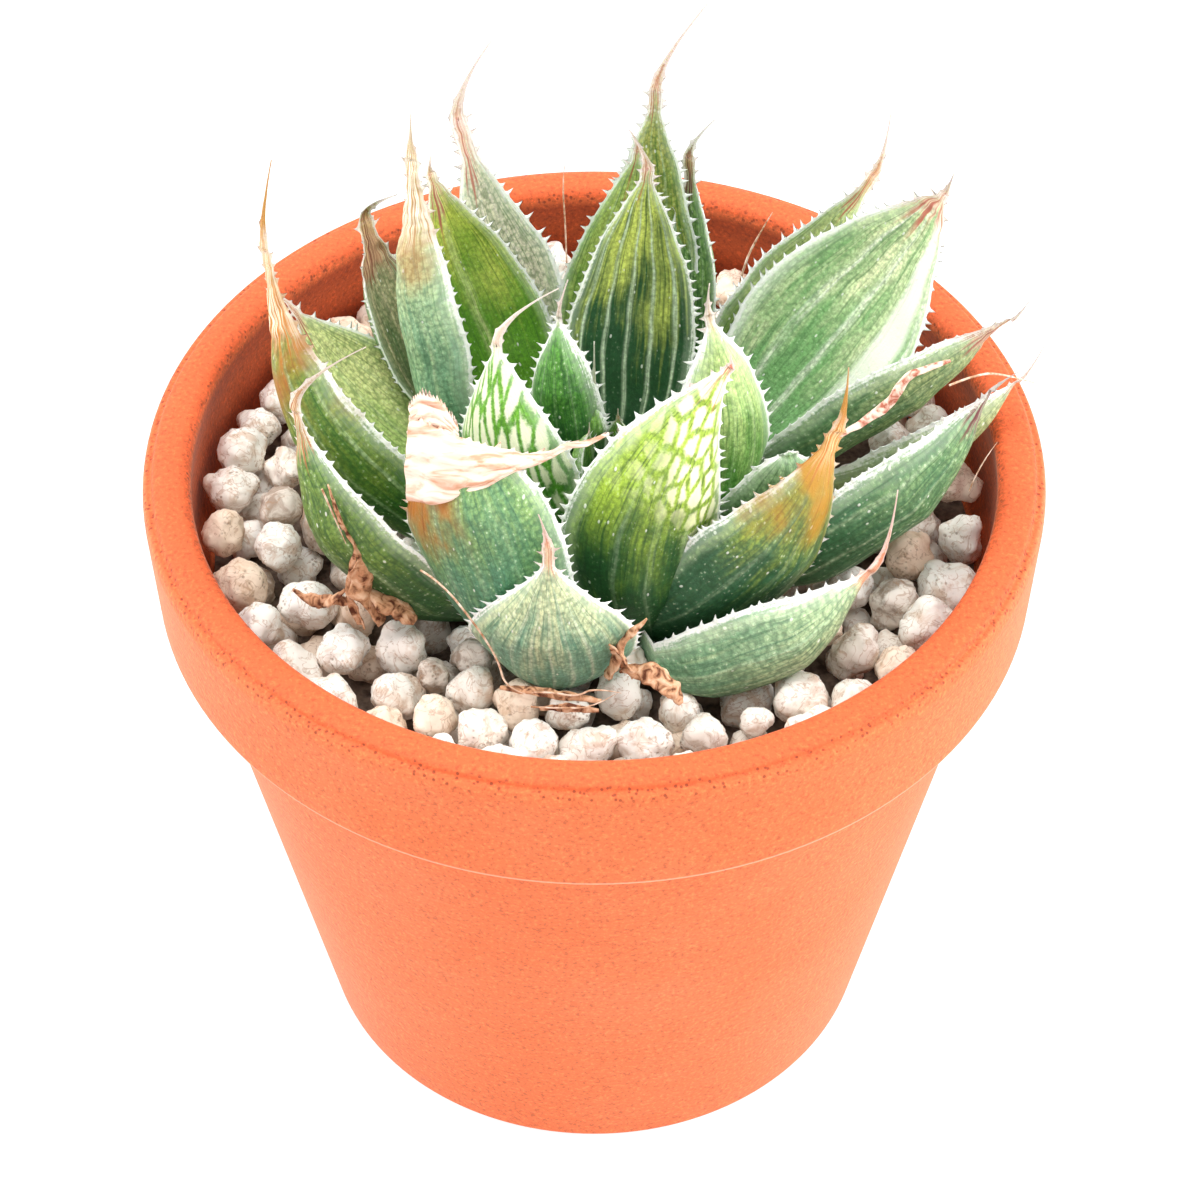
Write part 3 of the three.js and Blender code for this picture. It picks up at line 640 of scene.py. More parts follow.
    # flecks: short raised white dashes that lie along the blade
    dots = addNode(tree, "ShaderNodeTexVoronoi", {"Vector": sheet(sideMm, 1 / 0.8, 1 / 1.5), "Scale": 1.0})
    dotTone = addNode(tree, "ShaderNodeSeparateColor", {"Color": dots.outputs["Color"]}).outputs["Red"]
    dot = calc("MULTIPLY", fade(dots.outputs["Distance"], 0.19, 0.1), calc("GREATER_THAN", dotTone, 1 - 0.5 * plan["fleck"]))
    colour = blend(calc("MULTIPLY", dot, 0.7), colour, hexColour("#f2f6ea"))
    if plan["paleSide"]:
        sign = math.copysign(1, plan["paleSide"])
        where = inside if plan["paleInside"] else outside
        pale = fade(calc("ADD", calc("MULTIPLY", across, sign), calc("MULTIPLY", calc("SUBTRACT", streaks, 0.5), 0.5)),
                    abs(plan["paleSide"]), abs(plan["paleSide"]) + 0.16)
        if plan["paleEnd"]:
            pale = calc("MULTIPLY", pale, fade(calc("MULTIPLY", across, sign), plan["paleEnd"], plan["paleEnd"] - 0.14))
        colour = blend(calc("MULTIPLY", pale, calc("MULTIPLY", where, 0.9)), colour, hexColour(plan["paleColour"]))
    # the margin: a horny colourless edge that breaks up inwards
    ragged = calc("MULTIPLY", calc("SUBTRACT", calc("ADD", grain, fine), 1.0), 1.1)
    soft = fade(calc("ADD", edge, ragged), plan["edgeWidth"] * 2.2, plan["edgeWidth"] * 0.5, 0.0, 0.3)
    colour = blend(soft, colour, hexColour("#cfe0c4"))
    rim = fade(calc("ADD", edge, calc("MULTIPLY", ragged, 0.8)), plan["edgeWidth"] * 0.7, plan["edgeWidth"] * 0.2)
    colour = blend(calc("MULTIPLY", rim, 0.95), colour, hexColour("#f4f7f0"))
    # the tip has dried: papery, streaked, darker towards the bristle
    dryAt = calc("ADD", along, calc("ADD", calc("MULTIPLY", calc("SUBTRACT", streaks, 0.5), 0.45),
                                    calc("MULTIPLY", calc("SUBTRACT", cloud, 0.5), 0.3)))
    dry = fade(dryAt, plan["dryFrom"] - 0.03, plan["dryFrom"] + 0.07)
    if plan["burn"]:
        start = plan["burnFrom"] or plan["dryFrom"] - 0.2
        burnAt = calc("ADD", along, calc("ADD", calc("MULTIPLY", calc("SUBTRACT", streaks, 0.5), 0.2),
                                         calc("MULTIPLY", calc("SUBTRACT", cloud, 0.5), 0.4)))
        scorch = calc("MULTIPLY", fade(burnAt, start, start + 0.2), fade(cloud, 0.36, 0.55, 0.3, 1.0))
        if plan["burnSide"]:
            scorch = calc("MULTIPLY", scorch, fade(calc("MULTIPLY", across, plan["burnSide"]), -0.2, 0.3))
        brown = blend(fade(streaks, 0.5, 0.64, 0.0, 0.75), hexColour(plan["burnColour"]), hexColour("#7a4318"))
        colour = blend(calc("MULTIPLY", scorch, plan["burn"]), colour, brown)
    papery = blend(fade(streaks, 0.42, 0.6), hexColour(plan["dryColour"]), hexColour(plan["dryDark"]))
    papery = blend(fade(fine, 0.5, 0.6, 0.0, 0.8), papery, hexColour(plan["dryDark"]))
    papery = blend(fade(along, 1.0, 1.4, 0.0, plan["awnDark"]), papery, hexColour(plan["dryDark"]))
    colour = blend(calc("MULTIPLY", dry, calc("SUBTRACT", 1.0, calc("MULTIPLY", rim, 0.5))), colour, papery)
    tree.links.new(colour, skin.inputs["Base Color"])
    relief = calc("ADD", calc("ADD", grain, calc("MULTIPLY", fine, 0.6)), calc("ADD", vein, calc("ADD", dot, bead)))
    bump = addNode(tree, "ShaderNodeBump", {"Height": relief, "Strength": 0.6, "Distance": 0.14 * mm})
    tree.links.new(bump.outputs["Normal"], skin.inputs["Normal"])
    tree.links.new(fade(dry, 0, 1, 0.48, 0.78), skin.inputs["Roughness"])
    skin.inputs["IOR"].default_value = 1.42
    skin.inputs["Subsurface Weight"].default_value = 0.12
    skin.inputs["Subsurface Radius"].default_value = (0.6, 1.0, 0.3)
    skin.inputs["Subsurface Scale"].default_value = 1.2 * mm
    return material


for order, (name, changes) in enumerate(leafPlans.items()):
    plan = {**leafDefaults, **changes}
    leaf = growLeaf(name, plan, order + 11)
    leaf.data.materials.append(makeLeafSkin(name, plan))
    settle(leaf, name.replace("leaf_", "blade_"), None, [name])
# the youngest leaves still stand close together in the crown
crownPlan = {"leaves": 9, "middle": (1.5, -3.5), "turn": 137.5, "foot": 82, "outerLow": "#6f9c4c",
             "outerHigh": "#8fbc58", "innerLow": "#3f7a34", "innerHigh": "#8cb850"}
youngLeaves = []
for k in range(crownPlan["leaves"]):
    way = math.radians(20 + crownPlan["turn"] * k)
    reach = 1.2 + 0.85 * k
    start = Vector((*crownPlan["middle"], crownPlan["foot"])) + Vector((math.cos(way), math.sin(way), 0)) * reach * 0.6
    end = start + Vector((math.cos(way) * reach * 0.5, math.sin(way) * reach * 0.5, 9.5 - 0.35 * k))
    plan = {**leafDefaults, "foot": tuple(start), "tip": tuple(end), "awn": tuple(end + Vector((0, 0, 1.5))),
            "width": 3.5 + 0.5 * k, "thick": 1.4 + 0.12 * k, "trough": 0.5, "bow": 0.6, "back": math.degrees(way),
            "tipBreadth": 0.6, "edgeWidth": 0.4, "fleck": 0.2, "stripes": 5,
            **{key: crownPlan[key] for key in ("outerLow", "outerHigh", "innerLow", "innerHigh")}}
    youngLeaves.append(growLeaf("young", plan, 90 + k))
pick(*youngLeaves)
bpy.ops.object.join()
settle(bpy.context.object, "young_leaves", makeLeafSkin("young", plan), [])
print("leaves grown,", len(leafPlans), "and", len(youngLeaves), "young ones")


def makeSpeckled(name, scale, stops, roughness):
    # a mottled matt body with a crumbly surface
    material, tree, skin, _ = newMaterial(name)
    place = addNode(tree, "ShaderNodeTexCoord").outputs["Object"]
    mottle = addNode(tree, "ShaderNodeTexNoise", {"Vector": place, "Scale": 1 / (scale * mm), "Detail": 5,
                     "Roughness": 0.65}).outputs["Fac"]
    colour = setStops(addNode(tree, "ShaderNodeValToRGB", {"Fac": mottle}), stops)
    tree.links.new(colour.outputs["Color"], skin.inputs["Base Color"])
    bump = addNode(tree, "ShaderNodeBump", {"Height": mottle, "Strength": 0.7, "Distance": 0.3 * scale * mm})
    tree.links.new(bump.outputs["Normal"], skin.inputs["Normal"])
    skin.inputs["Roughness"].default_value = roughness
    return material


# what shows of the parts below: the fleshy crown between the leaves, the mix and the shard over the hole
plainParts = {
    "crown_and_roots": makeSpeckled("fleshy crown with old leaf bases", 2.5,
                                    [(0.35, "#3f5f30"), (0.5, "#5f7f40"), (0.7, "#8c8a58")], 0.6),
    "potting_mix": makeSpeckled("potting mix, peat with grit", 1.5,
                                [(0.35, "#2a1d15"), (0.55, "#4a3424"), (0.7, "#8a7663")], 0.95),
    "drain_crock": terracotta,
}
for node, material in plainParts.items():
    part = frame["nodes"][node]
    part.data.materials.clear()
    part.data.materials.append(material)
print("crown, mix and crock finished")

# ---------- pumice ----------
pumice = {
    "templates": 12,
    "voxel": 0.42,  # mm between the points of a lump
    "radius": 3.0,
    "top": 78.3,  # how high the lumps reach
    "wall": 46.3,
    "inner": 19,
    "rows": [0, 5.9, 11.6, 17.2, 22.6],  # how far each row lies in from the wall
    "layers": [  # smallest and largest radius, lowest and highest middle, tries
        (2.8, 3.4, 74.0, 75.4, 2500), (2.1, 2.8, 73.4, 75.6, 4000),
        (2.6, 3.3, 69.8, 72.4, 3500), (2.0, 2.6, 70.0, 72.8, 3000)],
}


def makePumice():
    # expanded volcanic glass, tumbled round: chalky and matt, cream to peach to grey,
    # with rusty stains and small open pores
    material, tree, skin, _ = newMaterial("pumice, tumbled and sieved")
    place = addNode(tree, "ShaderNodeTexCoord").outputs["Object"]
    tone = addNode(tree, "ShaderNodeAttribute", attribute_name="tone").outputs["Fac"]
    body = setStops(addNode(tree, "ShaderNodeValToRGB", {"Fac": tone}),
                    [(0.0, "#d6c8ba"), (0.1, "#ece4da"), (0.28, "#fbf6ee"), (0.72, "#fffcf6"), (0.88, "#fdebd8"),
                     (1.0, "#f2dac4")])
    stain = addNode(tree, "ShaderNodeTexNoise", {"Vector": place, "Scale": 1 / (2.6 * mm), "Detail": 5, "Roughness": 0.65,
                    "Distortion": 0.6}).outputs["Fac"]
    stainMask = addNode(tree, "ShaderNodeMapRange", {"Value": stain, "From Min": 0.5, "From Max": 0.64, "To Max": 0.55})
    colour = addNode(tree, "ShaderNodeMix", {"Factor": stainMask.outputs["Result"], "A": body.outputs["Color"],
                     "B": hexColour("#c49a74")}, data_type="RGBA").outputs["Result"]
    # one stone in eight is spotted with darker glass
    spotted = addNode(tree, "ShaderNodeMapRange", {"Value": tone, "From Min": 0.15, "From Max": 0.11}).outputs["Result"]
    spots = addNode(tree, "ShaderNodeMapRange", {"Value": stain, "From Min": 0.46, "From Max": 0.6, "To Max": 0.6}).outputs["Result"]
    dark = addNode(tree, "ShaderNodeMath", {0: spotted, 1: spots}, operation="MULTIPLY").outputs["Value"]
    colour = addNode(tree, "ShaderNodeMix", {"Factor": dark, "A": colour, "B": hexColour("#86766a")},
                     data_type="RGBA").outputs["Result"]
    # fine rusty cracks: where a second noise crosses its middle value
    crack = addNode(tree, "ShaderNodeTexNoise", {"Vector": place, "Scale": 1 / (2.0 * mm), "Detail": 3,
                    "Distortion": 0.8}).outputs["Fac"]
    middle = addNode(tree, "ShaderNodeMath", {0: crack, 1: 0.5}, operation="SUBTRACT").outputs["Value"]
    offMiddle = addNode(tree, "ShaderNodeMath", {0: middle}, operation="ABSOLUTE").outputs["Value"]
    line = addNode(tree, "ShaderNodeMapRange", {"Value": offMiddle, "From Min": 0.024, "From Max": 0.004,
                   "To Max": 0.5}).outputs["Result"]
    colour = addNode(tree, "ShaderNodeMix", {"Factor": line, "A": colour, "B": hexColour("#aa805c")},
                     data_type="RGBA").outputs["Result"]
    pore = addNode(tree, "ShaderNodeTexVoronoi", {"Vector": place, "Scale": 1 / (0.62 * mm)}).outputs["Distance"]
    poreRegion = addNode(tree, "ShaderNodeTexNoise", {"Vector": place, "Scale": 1 / (3.5 * mm)}).outputs["Fac"]
    poreShare = addNode(tree, "ShaderNodeMapRange", {"Value": poreRegion, "From Min": 0.52, "From Max": 0.66}).outputs["Result"]
    poreMask = addNode(tree, "ShaderNodeMapRange", {"Value": pore, "From Min": 0.36, "From Max": 0.16}).outputs["Result"]
    hole = addNode(tree, "ShaderNodeMath", {0: poreShare, 1: poreMask}, operation="MULTIPLY").outputs["Value"]
    holeDark = addNode(tree, "ShaderNodeMath", {0: hole, 1: 0.6}, operation="MULTIPLY").outputs["Value"]
    colour = addNode(tree, "ShaderNodeMix", {"Factor": holeDark, "A": colour, "B": hexColour("#86694f")},
                     data_type="RGBA").outputs["Result"]
    tree.links.new(colour, skin.inputs["Base Color"])
    fine = addNode(tree, "ShaderNodeTexNoise", {"Vector": place, "Scale": 1 / (0.9 * mm), "Detail": 4}).outputs["Fac"]
    relief = addNode(tree, "ShaderNodeMath", {0: fine, 1: hole}, operation="SUBTRACT").outputs["Value"]
    bump = addNode(tree, "ShaderNodeBump", {"Height": relief, "Strength": 0.6, "Distance": 0.2 * mm})
    tree.links.new(bump.outputs["Normal"], skin.inputs["Normal"])
    skin.inputs["Roughness"].default_value = 0.88
    skin.inputs["IOR"].default_value = 1.5
    return material


def makeShadeDisc():
    # a dark disc under the lumps: partly the dust and mix that lie below, partly painted shade for the deep gaps
    # between the lumps; matt
    material, tree, skin, _ = newMaterial("damp pumice dust")
    place = addNode(tree, "ShaderNodeTexCoord").outputs["Object"]
    crumbs = addNode(tree, "ShaderNodeTexNoise", {"Vector": place, "Scale": 1 / (1.2 * mm), "Detail": 4}).outputs["Fac"]
    colour = setStops(addNode(tree, "ShaderNodeValToRGB", {"Fac": crumbs}), [(0.35, "#4a3a30"), (0.65, "#7d6a5c")])
    tree.links.new(colour.outputs["Color"], skin.inputs["Base Color"])
    bump = addNode(tree, "ShaderNodeBump", {"Height": crumbs, "Strength": 0.8, "Distance": 0.4 * mm})
    tree.links.new(bump.outputs["Normal"], skin.inputs["Normal"])
    skin.inputs["Roughness"].default_value = 0.95
    return material


def shapeLump(seed, voxel):
    # a round stone with two to four smaller knobs run together, then weathered
    dice = random.Random(seed)
    far = Vector((0.3 * seed, 0.0, 0.0))
    bpy.ops.object.select_all(action="DESELECT")
    bpy.ops.mesh.primitive_ico_sphere_add(subdivisions=3, radius=2.45 * mm, location=far)
    lump = bpy.context.object
    knobs = []
    for _ in range(dice.randint(3, 6)):
        way = Vector((dice.gauss(0, 1), dice.gauss(0, 1), dice.gauss(0, 1))).normalized()
        bpy.ops.mesh.primitive_ico_sphere_add(subdivisions=3, radius=dice.uniform(1.1, 1.7) * mm,
                                              location=far + way * dice.uniform(1.5, 1.95) * mm)
        knobs.append(bpy.context.object)
    pick(lump, *knobs)
    bpy.ops.object.join()
    clouds = bpy.data.textures.new("weathering", "CLOUDS")
    clouds.noise_scale = 2.2 * mm
    rough = bpy.data.textures.new("pores", "CLOUDS")
    rough.noise_scale = 0.9 * mm
    remesh = lump.modifiers.new("skin", "REMESH")
    remesh.mode = "VOXEL"
    remesh.voxel_size = voxel * mm
    remesh.use_smooth_shade = True
    smooth = lump.modifiers.new("soften", "SMOOTH")
    smooth.iterations = 3
    for texture, strength in ((clouds, 1.1), (rough, 0.5)):
        push = lump.modifiers.new("wear", "DISPLACE")
        push.texture = texture
        push.texture_coords = "GLOBAL"
        push.strength = strength * mm
        push.mid_level = 0.5
    for modifier in list(lump.modifiers):
        bpy.ops.object.modifier_apply(modifier=modifier.name)
    bpy.ops.object.origin_set(type="ORIGIN_GEOMETRY", center="BOUNDS")
    lump.location = (0, 0, 0)
    span = max(lump.dimensions) / 2
    lump.scale = [pumice["radius"] * mm / span] * 3
    bpy.ops.object.transform_apply(location=False, rotation=False, scale=True)
    return lump


def placeLump(template, spot, radius, dice):
    pick(template)
    bpy.ops.object.duplicate()
    lump = bpy.context.object
    lump.rotation_euler = [dice.uniform(0, 2 * math.pi) for _ in range(3)]
    lump.scale = [radius / pumice["radius"] * dice.uniform(0.94, 1.06) for _ in range(3)]
    lump.location = Vector(spot) * mm
    tone = dice.random()
    setAttribute(lump.data, "tone", [tone] * len(lump.data.vertices))
    return lump


def leafTree():
    # everything that a lump must keep clear of
    corners, faces = [], []
    for thing in bpy.data.objects:
        if thing.name.startswith("blade_"):
            start = len(corners)
            corners += [vertex.co.copy() for vertex in thing.data.vertices]
            faces += [[start + i for i in polygon.vertices] for polygon in thing.data.polygons]
    return BVHTree.FromPolygons(corners, faces)


def packLumps(fixed):
    # drop stones of falling size into what room is left, upper layer first
    p = pumice
    dice = random.Random(5)
    leaves = leafTree()
    spots = [tuple(spot) for spot in fixed]
    known = np.array(spots)
    upper, lower = [], []

    def tryStone(way, reach, z, radius, pile):
        nonlocal known
        x, y = reach * math.cos(way), reach * math.sin(way)
        z = min(z, p["top"] - radius + (0.8 if y > 0 else 0))
        gaps = np.sqrt(((known[:, :3] - (x, y, z)) ** 2).sum(axis=1)) - 0.92 * (known[:, 3] + radius)
        near, normal, _, distance = leaves.find_nearest(Vector((x, y, z)) * mm)
        away = (Vector((x, y, z)) * mm - near).dot(normal)
        if gaps.min() > 0 and distance > radius * 0.82 * mm and away > 0:
            known = np.vstack([known, (x, y, z, radius)])
            pile.append((x, y, z, radius))

    for row in p["rows"]:
        way = dice.uniform(0, 0.2)
        while way < 2 * math.pi + 0.1:
            radius = dice.uniform(2.8, 3.5)
            reach = p["wall"] - radius - row - (dice.uniform(0, 0.5) if row else 0)
            tryStone(way, reach, dice.uniform(74.6, 76), radius, upper)
            way += dice.uniform(0.35, 1.0) / reach
    for small, large, lowest, highest, tries in p["layers"]:
        for _ in range(tries):
            radius = dice.uniform(small, large)
            reach = math.sqrt(dice.uniform(p["inner"] ** 2, (p["wall"] - radius) ** 2))
            tryStone(dice.uniform(0, 2 * math.pi), reach, dice.uniform(lowest, highest), radius,
                     upper if highest > 74 else lower)
    return upper, lower


def layPumice():
    stone = makePumice()
    fine = [shapeLump(i + 1, pumice["voxel"]) for i in range(pumice["templates"])]
    coarse = []
    for template in fine[:6]:
        pick(template)
        bpy.ops.object.duplicate()
        rough = bpy.context.object
        thin = rough.modifiers.new("thin", "DECIMATE")
        thin.ratio = 0.16
        bpy.ops.object.modifier_apply(modifier=thin.name)
        coarse.append(rough)
    dice = random.Random(29)
    fixed = []
    for order, node in enumerate(sorted(name for name in frame["nodes"] if name.startswith("pumice_lump"))):
        low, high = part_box(node)
        middle = (Vector(low) + Vector(high)) / 2 / mm
        radius = (high[0] - low[0]) / 2 / mm * dice.uniform(1.02, 1.16)
        fixed.append((middle.x, middle.y, middle.z, radius))
        lump = placeLump(fine[order % len(fine)], middle, radius, dice)
        settle(lump, node.replace("lump", "stone"), stone, [node])
    upper, lower = packLumps(fixed)
    stones = [placeLump(dice.choice(fine), spot[:3], spot[3], dice) for spot in upper]
    stones += [placeLump(dice.choice(coarse), spot[:3], spot[3], dice) for spot in lower]
    for lump in stones:
        lump.data.materials.clear()
        lump.data.materials.append(stone)
    deselectAll()
    # painted shade: a dark disc closes the deep gaps under the lumps, partly standing in for the mix below
    bpy.ops.mesh.primitive_circle_add(vertices=96, radius=45 * mm, fill_type="TRIFAN", location=(0, 0, 69 * mm))
    grit = bpy.context.object
    bpy.ops.object.mode_set(mode="EDIT")
    bpy.ops.mesh.select_all(action="SELECT")
    bpy.ops.mesh.extrude_region_move(TRANSFORM_OT_translate={"value": (0, 0, -3 * mm)})
    bpy.ops.mesh.select_all(action="SELECT")
    bpy.ops.mesh.normals_make_consistent(inside=False)
    bpy.ops.object.mode_set(mode="OBJECT")
    grit.data.materials.append(makeShadeDisc())
    pick(stones[0], grit, *stones[1:])
    bpy.ops.object.join()
    bed = settle(bpy.context.object, "pumice_stones", None, ["pumice_bed"])
    pick(*fine, *coarse)
    bpy.ops.object.delete()
    print("pumice laid,", len(upper), "above and", len(lower), "below,", len(bed.data.polygons), "faces")


layPumice()

# ---------- withered leaves and fibres ----------
# each strip: points in mm along its middle, its breadth at each, and how far it is turned
witheredPlans = {
    "withered_leaf_left": {
        "colours": ("#c08a64", "#5a2e18", "#e0b898"),
        "strips": [
            (((-24.2, -22, 80), (-26, -21.8, 83.5), (-26.4, -21, 89), (-27.8, -21, 93.4), (-29.3, -21, 100.6)),
             (3.4, 4.4, 3.0, 1.6, 0.25), 20),
            (((-26.4, -22.8, 80), (-27.6, -21.8, 84), (-27, -21.2, 88), (-26.6, -21.5, 91)), (2.0, 1.8, 1.2, 0.3), 80),
            (((-34.2, -17.5, 80.5), (-32, -19.5, 80.8), (-29.5, -20.5, 82), (-27, -21.5, 82.5)), (0.5, 1.8, 1.7, 0.8), 60),
            (((-31.4, -19.6, 79.8), (-30, -20.6, 81.6), (-28, -21, 84)), (0.5, 2.2, 0.8), 10),
            (((-26, -21, 84), (-23.5, -21.5, 82.4), (-20.4, -22, 80.6)), (1.6, 6.0, 2.6), 0),
        ]},
    "withered_husk_front": {
        "colours": ("#c8946e", "#5f321c", "#e6c4a4"),
        "strips": [
            (((1.4, -31.4, 81), (2.5, -31.4, 83.5), (3.4, -31, 86.3), (5.8, -31, 89.8)), (2.0, 2.5, 1.8, 0.25), 10),
            (((3.6, -32, 81.5), (2.8, -31.8, 84.5), (1.4, -31.5, 86.2)), (2.4, 2.6, 0.8), 70),
            (((3.3, -31.5, 82.4), (6, -33, 83.2), (8.6, -34.4, 82.2), (9.6, -35.4, 80.8)), (1.2, 3.2, 2.8, 0.8), 0),
            (((-10.5, -33, 80.8), (-7, -34, 81.4), (-3, -34.6, 81.2), (0.8, -35.2, 81)), (0.4, 1.3, 1.3, 0.4), 30),
            (((-6, -35.4, 80), (-3, -35.8, 80.6), (0.5, -36, 80.4)), (0.5, 1.4, 0.4), 70),
        ]},
    "withered_tip_right": {
        "colours": ("#efcab6", "#a8604a"),
        "strips": [
            (((27.2, -12.9, 100.4), (29.8, -11.5, 101), (32.6, -10.2, 102.8), (34.6, -9, 105.3), (37.1, -8, 106.1),
              (39.6, -7, 106.2)), (0.5, 1.0, 1.5, 1.4, 1.0, 0.3), 20),
        ]},
}
# the front leaf's dry tip has folded over to the right: upper and lower edge of each sheet, in mm
foldSheets = [
    (((-20.0, -18.6, 108.6), (-16.4, -20.2, 108.0), (-10.8, -21.2, 106.4), (-5.6, -20.8, 105.3), (-1, -19.2, 105.7),
      (1.7, -18, 105.6)),
     ((-20.3, -24.2, 101.6), (-16.8, -25.4, 102.2), (-13.0, -25.0, 103.6), (-9.0, -23.4, 104.6), (-3.4, -20.4, 105.1),
      (1.7, -18.1, 105.5)), 1.1),
    (((-20.2, -18.0, 109.6), (-18.6, -16.9, 110.2), (-16.6, -17.0, 109.0), (-14.8, -18.8, 107.0)),
     ((-20.2, -19.6, 106.6), (-18.4, -19.2, 107.0), (-16.6, -19.4, 106.8), (-14.6, -20.0, 106.0)), 0.5),
]
fibrePlans = [  # points in mm, thickness in mm
    (((-19.1, -28, 94.4), (-16.9, -29, 93.7), (-13, -30, 87.6), (-10.6, -32, 84.2), (-9.9, -33.4, 81.2),
      (-7.6, -34.4, 81.3)), 0.13),
    (((-8, -34, 81), (-5, -35, 82.4), (-2, -35, 81.4), (0, -34.6, 82.6), (3, -34, 81)), 0.12),
    (((-7, -35.5, 80.4), (-4, -36.5, 81.2), (0, -36, 80.8), (2.4, -35, 82)), 0.1),
    (((-3.4, 38.5, 80), (-3.5, 39.5, 85.8), (-3.9, 40.5, 91.7), (-3.6, 41, 94.1)), 0.1),
    (((17.4, 31.6, 82), (18.1, 32, 85.9), (19.5, 33, 89.3), (21.4, 33, 93.6)), 0.14),
    (((40.2, -3, 98.8), (43.3, -1, 98.6), (46.4, 1, 97), (50.9, 4, 92.6)), 0.14),
    (((43.5, -3, 82), (44.4, -2, 85), (46.5, -1, 88)), 0.1),
    (((-30, -20.5, 99.5), (-28.8, -21.2, 96), (-27.6, -21.6, 92)), 0.12),
]


def makeDryTissue(name, pale, dark, palest="#f3dfcd", stretch=(1, 1, 1)):
    # dead leaf: papery, curled, matt, streaked along the old veins
    material, tree, skin, _ = newMaterial(name)
    place = addNode(tree, "ShaderNodeTexCoord").outputs["Object"]
    drawn = addNode(tree, "ShaderNodeVectorMath", {0: place, 1: stretch}, operation="MULTIPLY").outputs["Vector"]
    blotch = addNode(tree, "ShaderNodeTexNoise", {"Vector": drawn, "Scale": 1 / (1.1 * mm), "Detail": 6,
                     "Distortion": 0.7}).outputs["Fac"]
    colour = setStops(addNode(tree, "ShaderNodeValToRGB", {"Fac": blotch}), [(0.36, dark), (0.5, pale), (0.68, palest)])
    tree.links.new(colour.outputs["Color"], skin.inputs["Base Color"])
    bump = addNode(tree, "ShaderNodeBump", {"Height": blotch, "Strength": 0.7, "Distance": 0.3 * mm})
    tree.links.new(bump.outputs["Normal"], skin.inputs["Normal"])
    skin.inputs["Roughness"].default_value = 0.8
    skin.inputs["IOR"].default_value = 1.4
    return material


def splinePoint(points, share):
    # a smooth path through the given points
    spans = len(points) - 1
    step = min(int(share * spans), spans - 1)
    t = share * spans - step
    grid = [Vector(points[min(max(step + k, 0), spans)]) for k in (-1, 0, 1, 2)]
    a, b, c, d = grid
    return 0.5 * (2 * b + (c - a) * t + (2 * a - 5 * b + 4 * c - d) * t * t + (3 * b - a - 3 * c + d) * t ** 3)


def curlStrip(points, breadths, turn, seed):
    deselectAll()
    rows, columns = 40, 10
    bpy.ops.mesh.primitive_grid_add(x_subdivisions=columns, y_subdivisions=rows, size=1)
    strip = bpy.context.object
    spans = len(breadths) - 1
    drift = Vector((seed * 3.7, seed * 1.3, 0))
    coords = []
    for r in range(rows + 1):
        share = r / rows
        place = splinePoint(points, share)
        ahead = (splinePoint(points, min(1, share + 0.02)) - splinePoint(points, max(0, share - 0.02))).normalized()
        flank = ahead.cross(Vector((0, 0, 1)))
        flank = flank.normalized() if flank.length > 0.1 else Vector((1, 0, 0))
        flank = Matrix.Rotation(math.radians(turn + 40 * noise.noise(place * 0.2 + drift)), 3, ahead) @ flank
        out = flank.cross(ahead)
        step = min(int(share * spans), spans - 1)
        half = (breadths[step] + (breadths[step + 1] - breadths[step]) * (share * spans - step)) / 2
        for c in range(columns + 1):
            a = 2 * c / columns - 1
            spot = place + flank * (a * half * (0.75 + 0.25 * noise.noise(Vector((a * 0.5, r * 0.3, seed)))))
            spot += out * (0.35 * half * (1 - a * a))
            spot += noise.noise_vector(spot * 0.7 + drift) * min(0.45, half * 0.3)
            coords += list(spot * mm)
    strip.data.vertices.foreach_set("co", coords)
    return thicken(strip, 0.18)


def thicken(sheet, thickness):
    sheet.data.update()
    wall = sheet.modifiers.new("tissue", "SOLIDIFY")
    wall.thickness = thickness * mm
    wall.offset = 0
    bpy.ops.object.modifier_apply(modifier=wall.name)
    bpy.ops.object.shade_smooth()
    return sheet


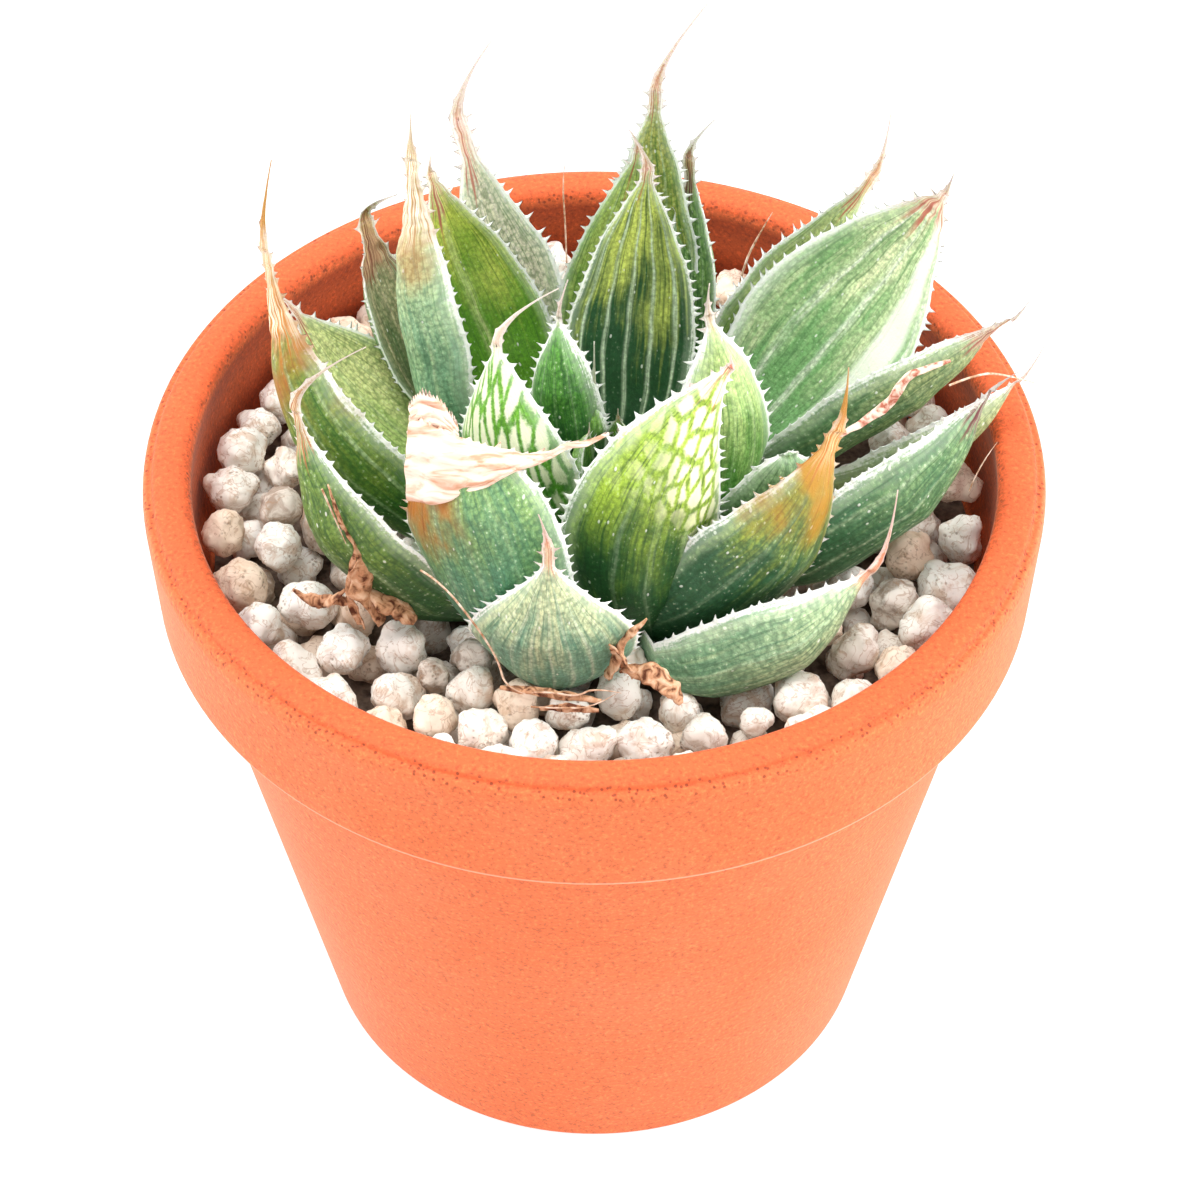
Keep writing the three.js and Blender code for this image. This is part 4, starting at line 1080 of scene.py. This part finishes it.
def drapeFold(upper, lower, bulge, seed):
    # a sheet between two edges, crowned in the middle and crinkled along its length
    deselectAll()
    rows, columns = 90, 26
    bpy.ops.mesh.primitive_grid_add(x_subdivisions=columns, y_subdivisions=rows, size=1)
    sheet = bpy.context.object
    dice = random.Random(seed)
    drift = Vector((seed * 2.1, 4.0, 0))
    coords = []
    for r in range(rows + 1):
        share = r / rows
        top, bottom = splinePoint(upper, share), splinePoint(lower, share)
        ahead = (splinePoint(upper, min(1, share + 0.02)) - splinePoint(upper, max(0, share - 0.02))).normalized()
        out = ahead.cross(top - bottom)
        out = out.normalized() if out.length > 1e-6 else Vector((0, -1, 0))
        out = -out if out.y > 0 else out
        tooth = dice.uniform(0.3, 0.9) if r % 5 == 2 else 0.0
        for c in range(columns + 1):
            across = c / columns
            spot = top.lerp(bottom, across) + out * (bulge * math.sin(math.pi * across) * (1 - share ** 2))
            crease = noise.noise(Vector((across * 6, share * 2.2, seed)))
            spot += out * (0.7 * crease * min(1, (top - bottom).length / 3))
            spot += noise.noise_vector(spot * 0.5 + drift) * 0.3
            if c == 0:
                spot += (top - bottom).normalized() * tooth if (top - bottom).length > 0.5 else Vector((0, 0, 0))
            coords += list(spot * mm)
    sheet.data.vertices.foreach_set("co", coords)
    return thicken(sheet, 0.3)


def drawFibre(points, thickness):
    deselectAll()
    bpy.ops.curve.primitive_nurbs_path_add(location=(0, 0, 0))
    fibre = bpy.context.object
    fibre.data.splines.clear()
    line = fibre.data.splines.new("NURBS")
    line.points.add(len(points) - 1)
    for point, spot in zip(line.points, points):
        point.co = (*(Vector(spot) * mm), 1)
    line.points[-1].radius = 0.3
    line.use_endpoint_u = True
    line.order_u = 3
    fibre.data.bevel_depth = thickness * mm
    fibre.data.bevel_resolution = 1
    fibre.data.use_fill_caps = True
    bpy.ops.object.convert(target="MESH")
    return bpy.context.object


for order, (node, plan) in enumerate(witheredPlans.items()):
    strips = [curlStrip(points, breadths, turn, order * 10 + k)
              for k, (points, breadths, turn) in enumerate(plan["strips"])]
    pick(*strips)
    if len(strips) > 1:
        bpy.ops.object.join()
    tissue = makeDryTissue(node.replace("_", " ") + ", dead tissue", *plan["colours"])
    settle(bpy.context.object, node.replace("withered", "dry"), tissue, [node])
folds = [drapeFold(upper, lower, bulge, 3 + k) for k, (upper, lower, bulge) in enumerate(foldSheets)]
pick(*folds)
bpy.ops.object.join()
settle(bpy.context.object, "folded_dry_tip", makeDryTissue("dried leaf tip, bleached", "#f1d3c0", "#d09a7c",
                                                                  "#f7e4d7", (0.25, 1.0, 1.0)), [])
fibres = [drawFibre(points, thickness) for points, thickness in fibrePlans]
pick(*fibres)
bpy.ops.object.join()
settle(bpy.context.object, "loose_fibres", makeDryTissue("root fibre, dead", "#d8b498", "#b07f5c"), [])
print("withered pieces and fibres placed")
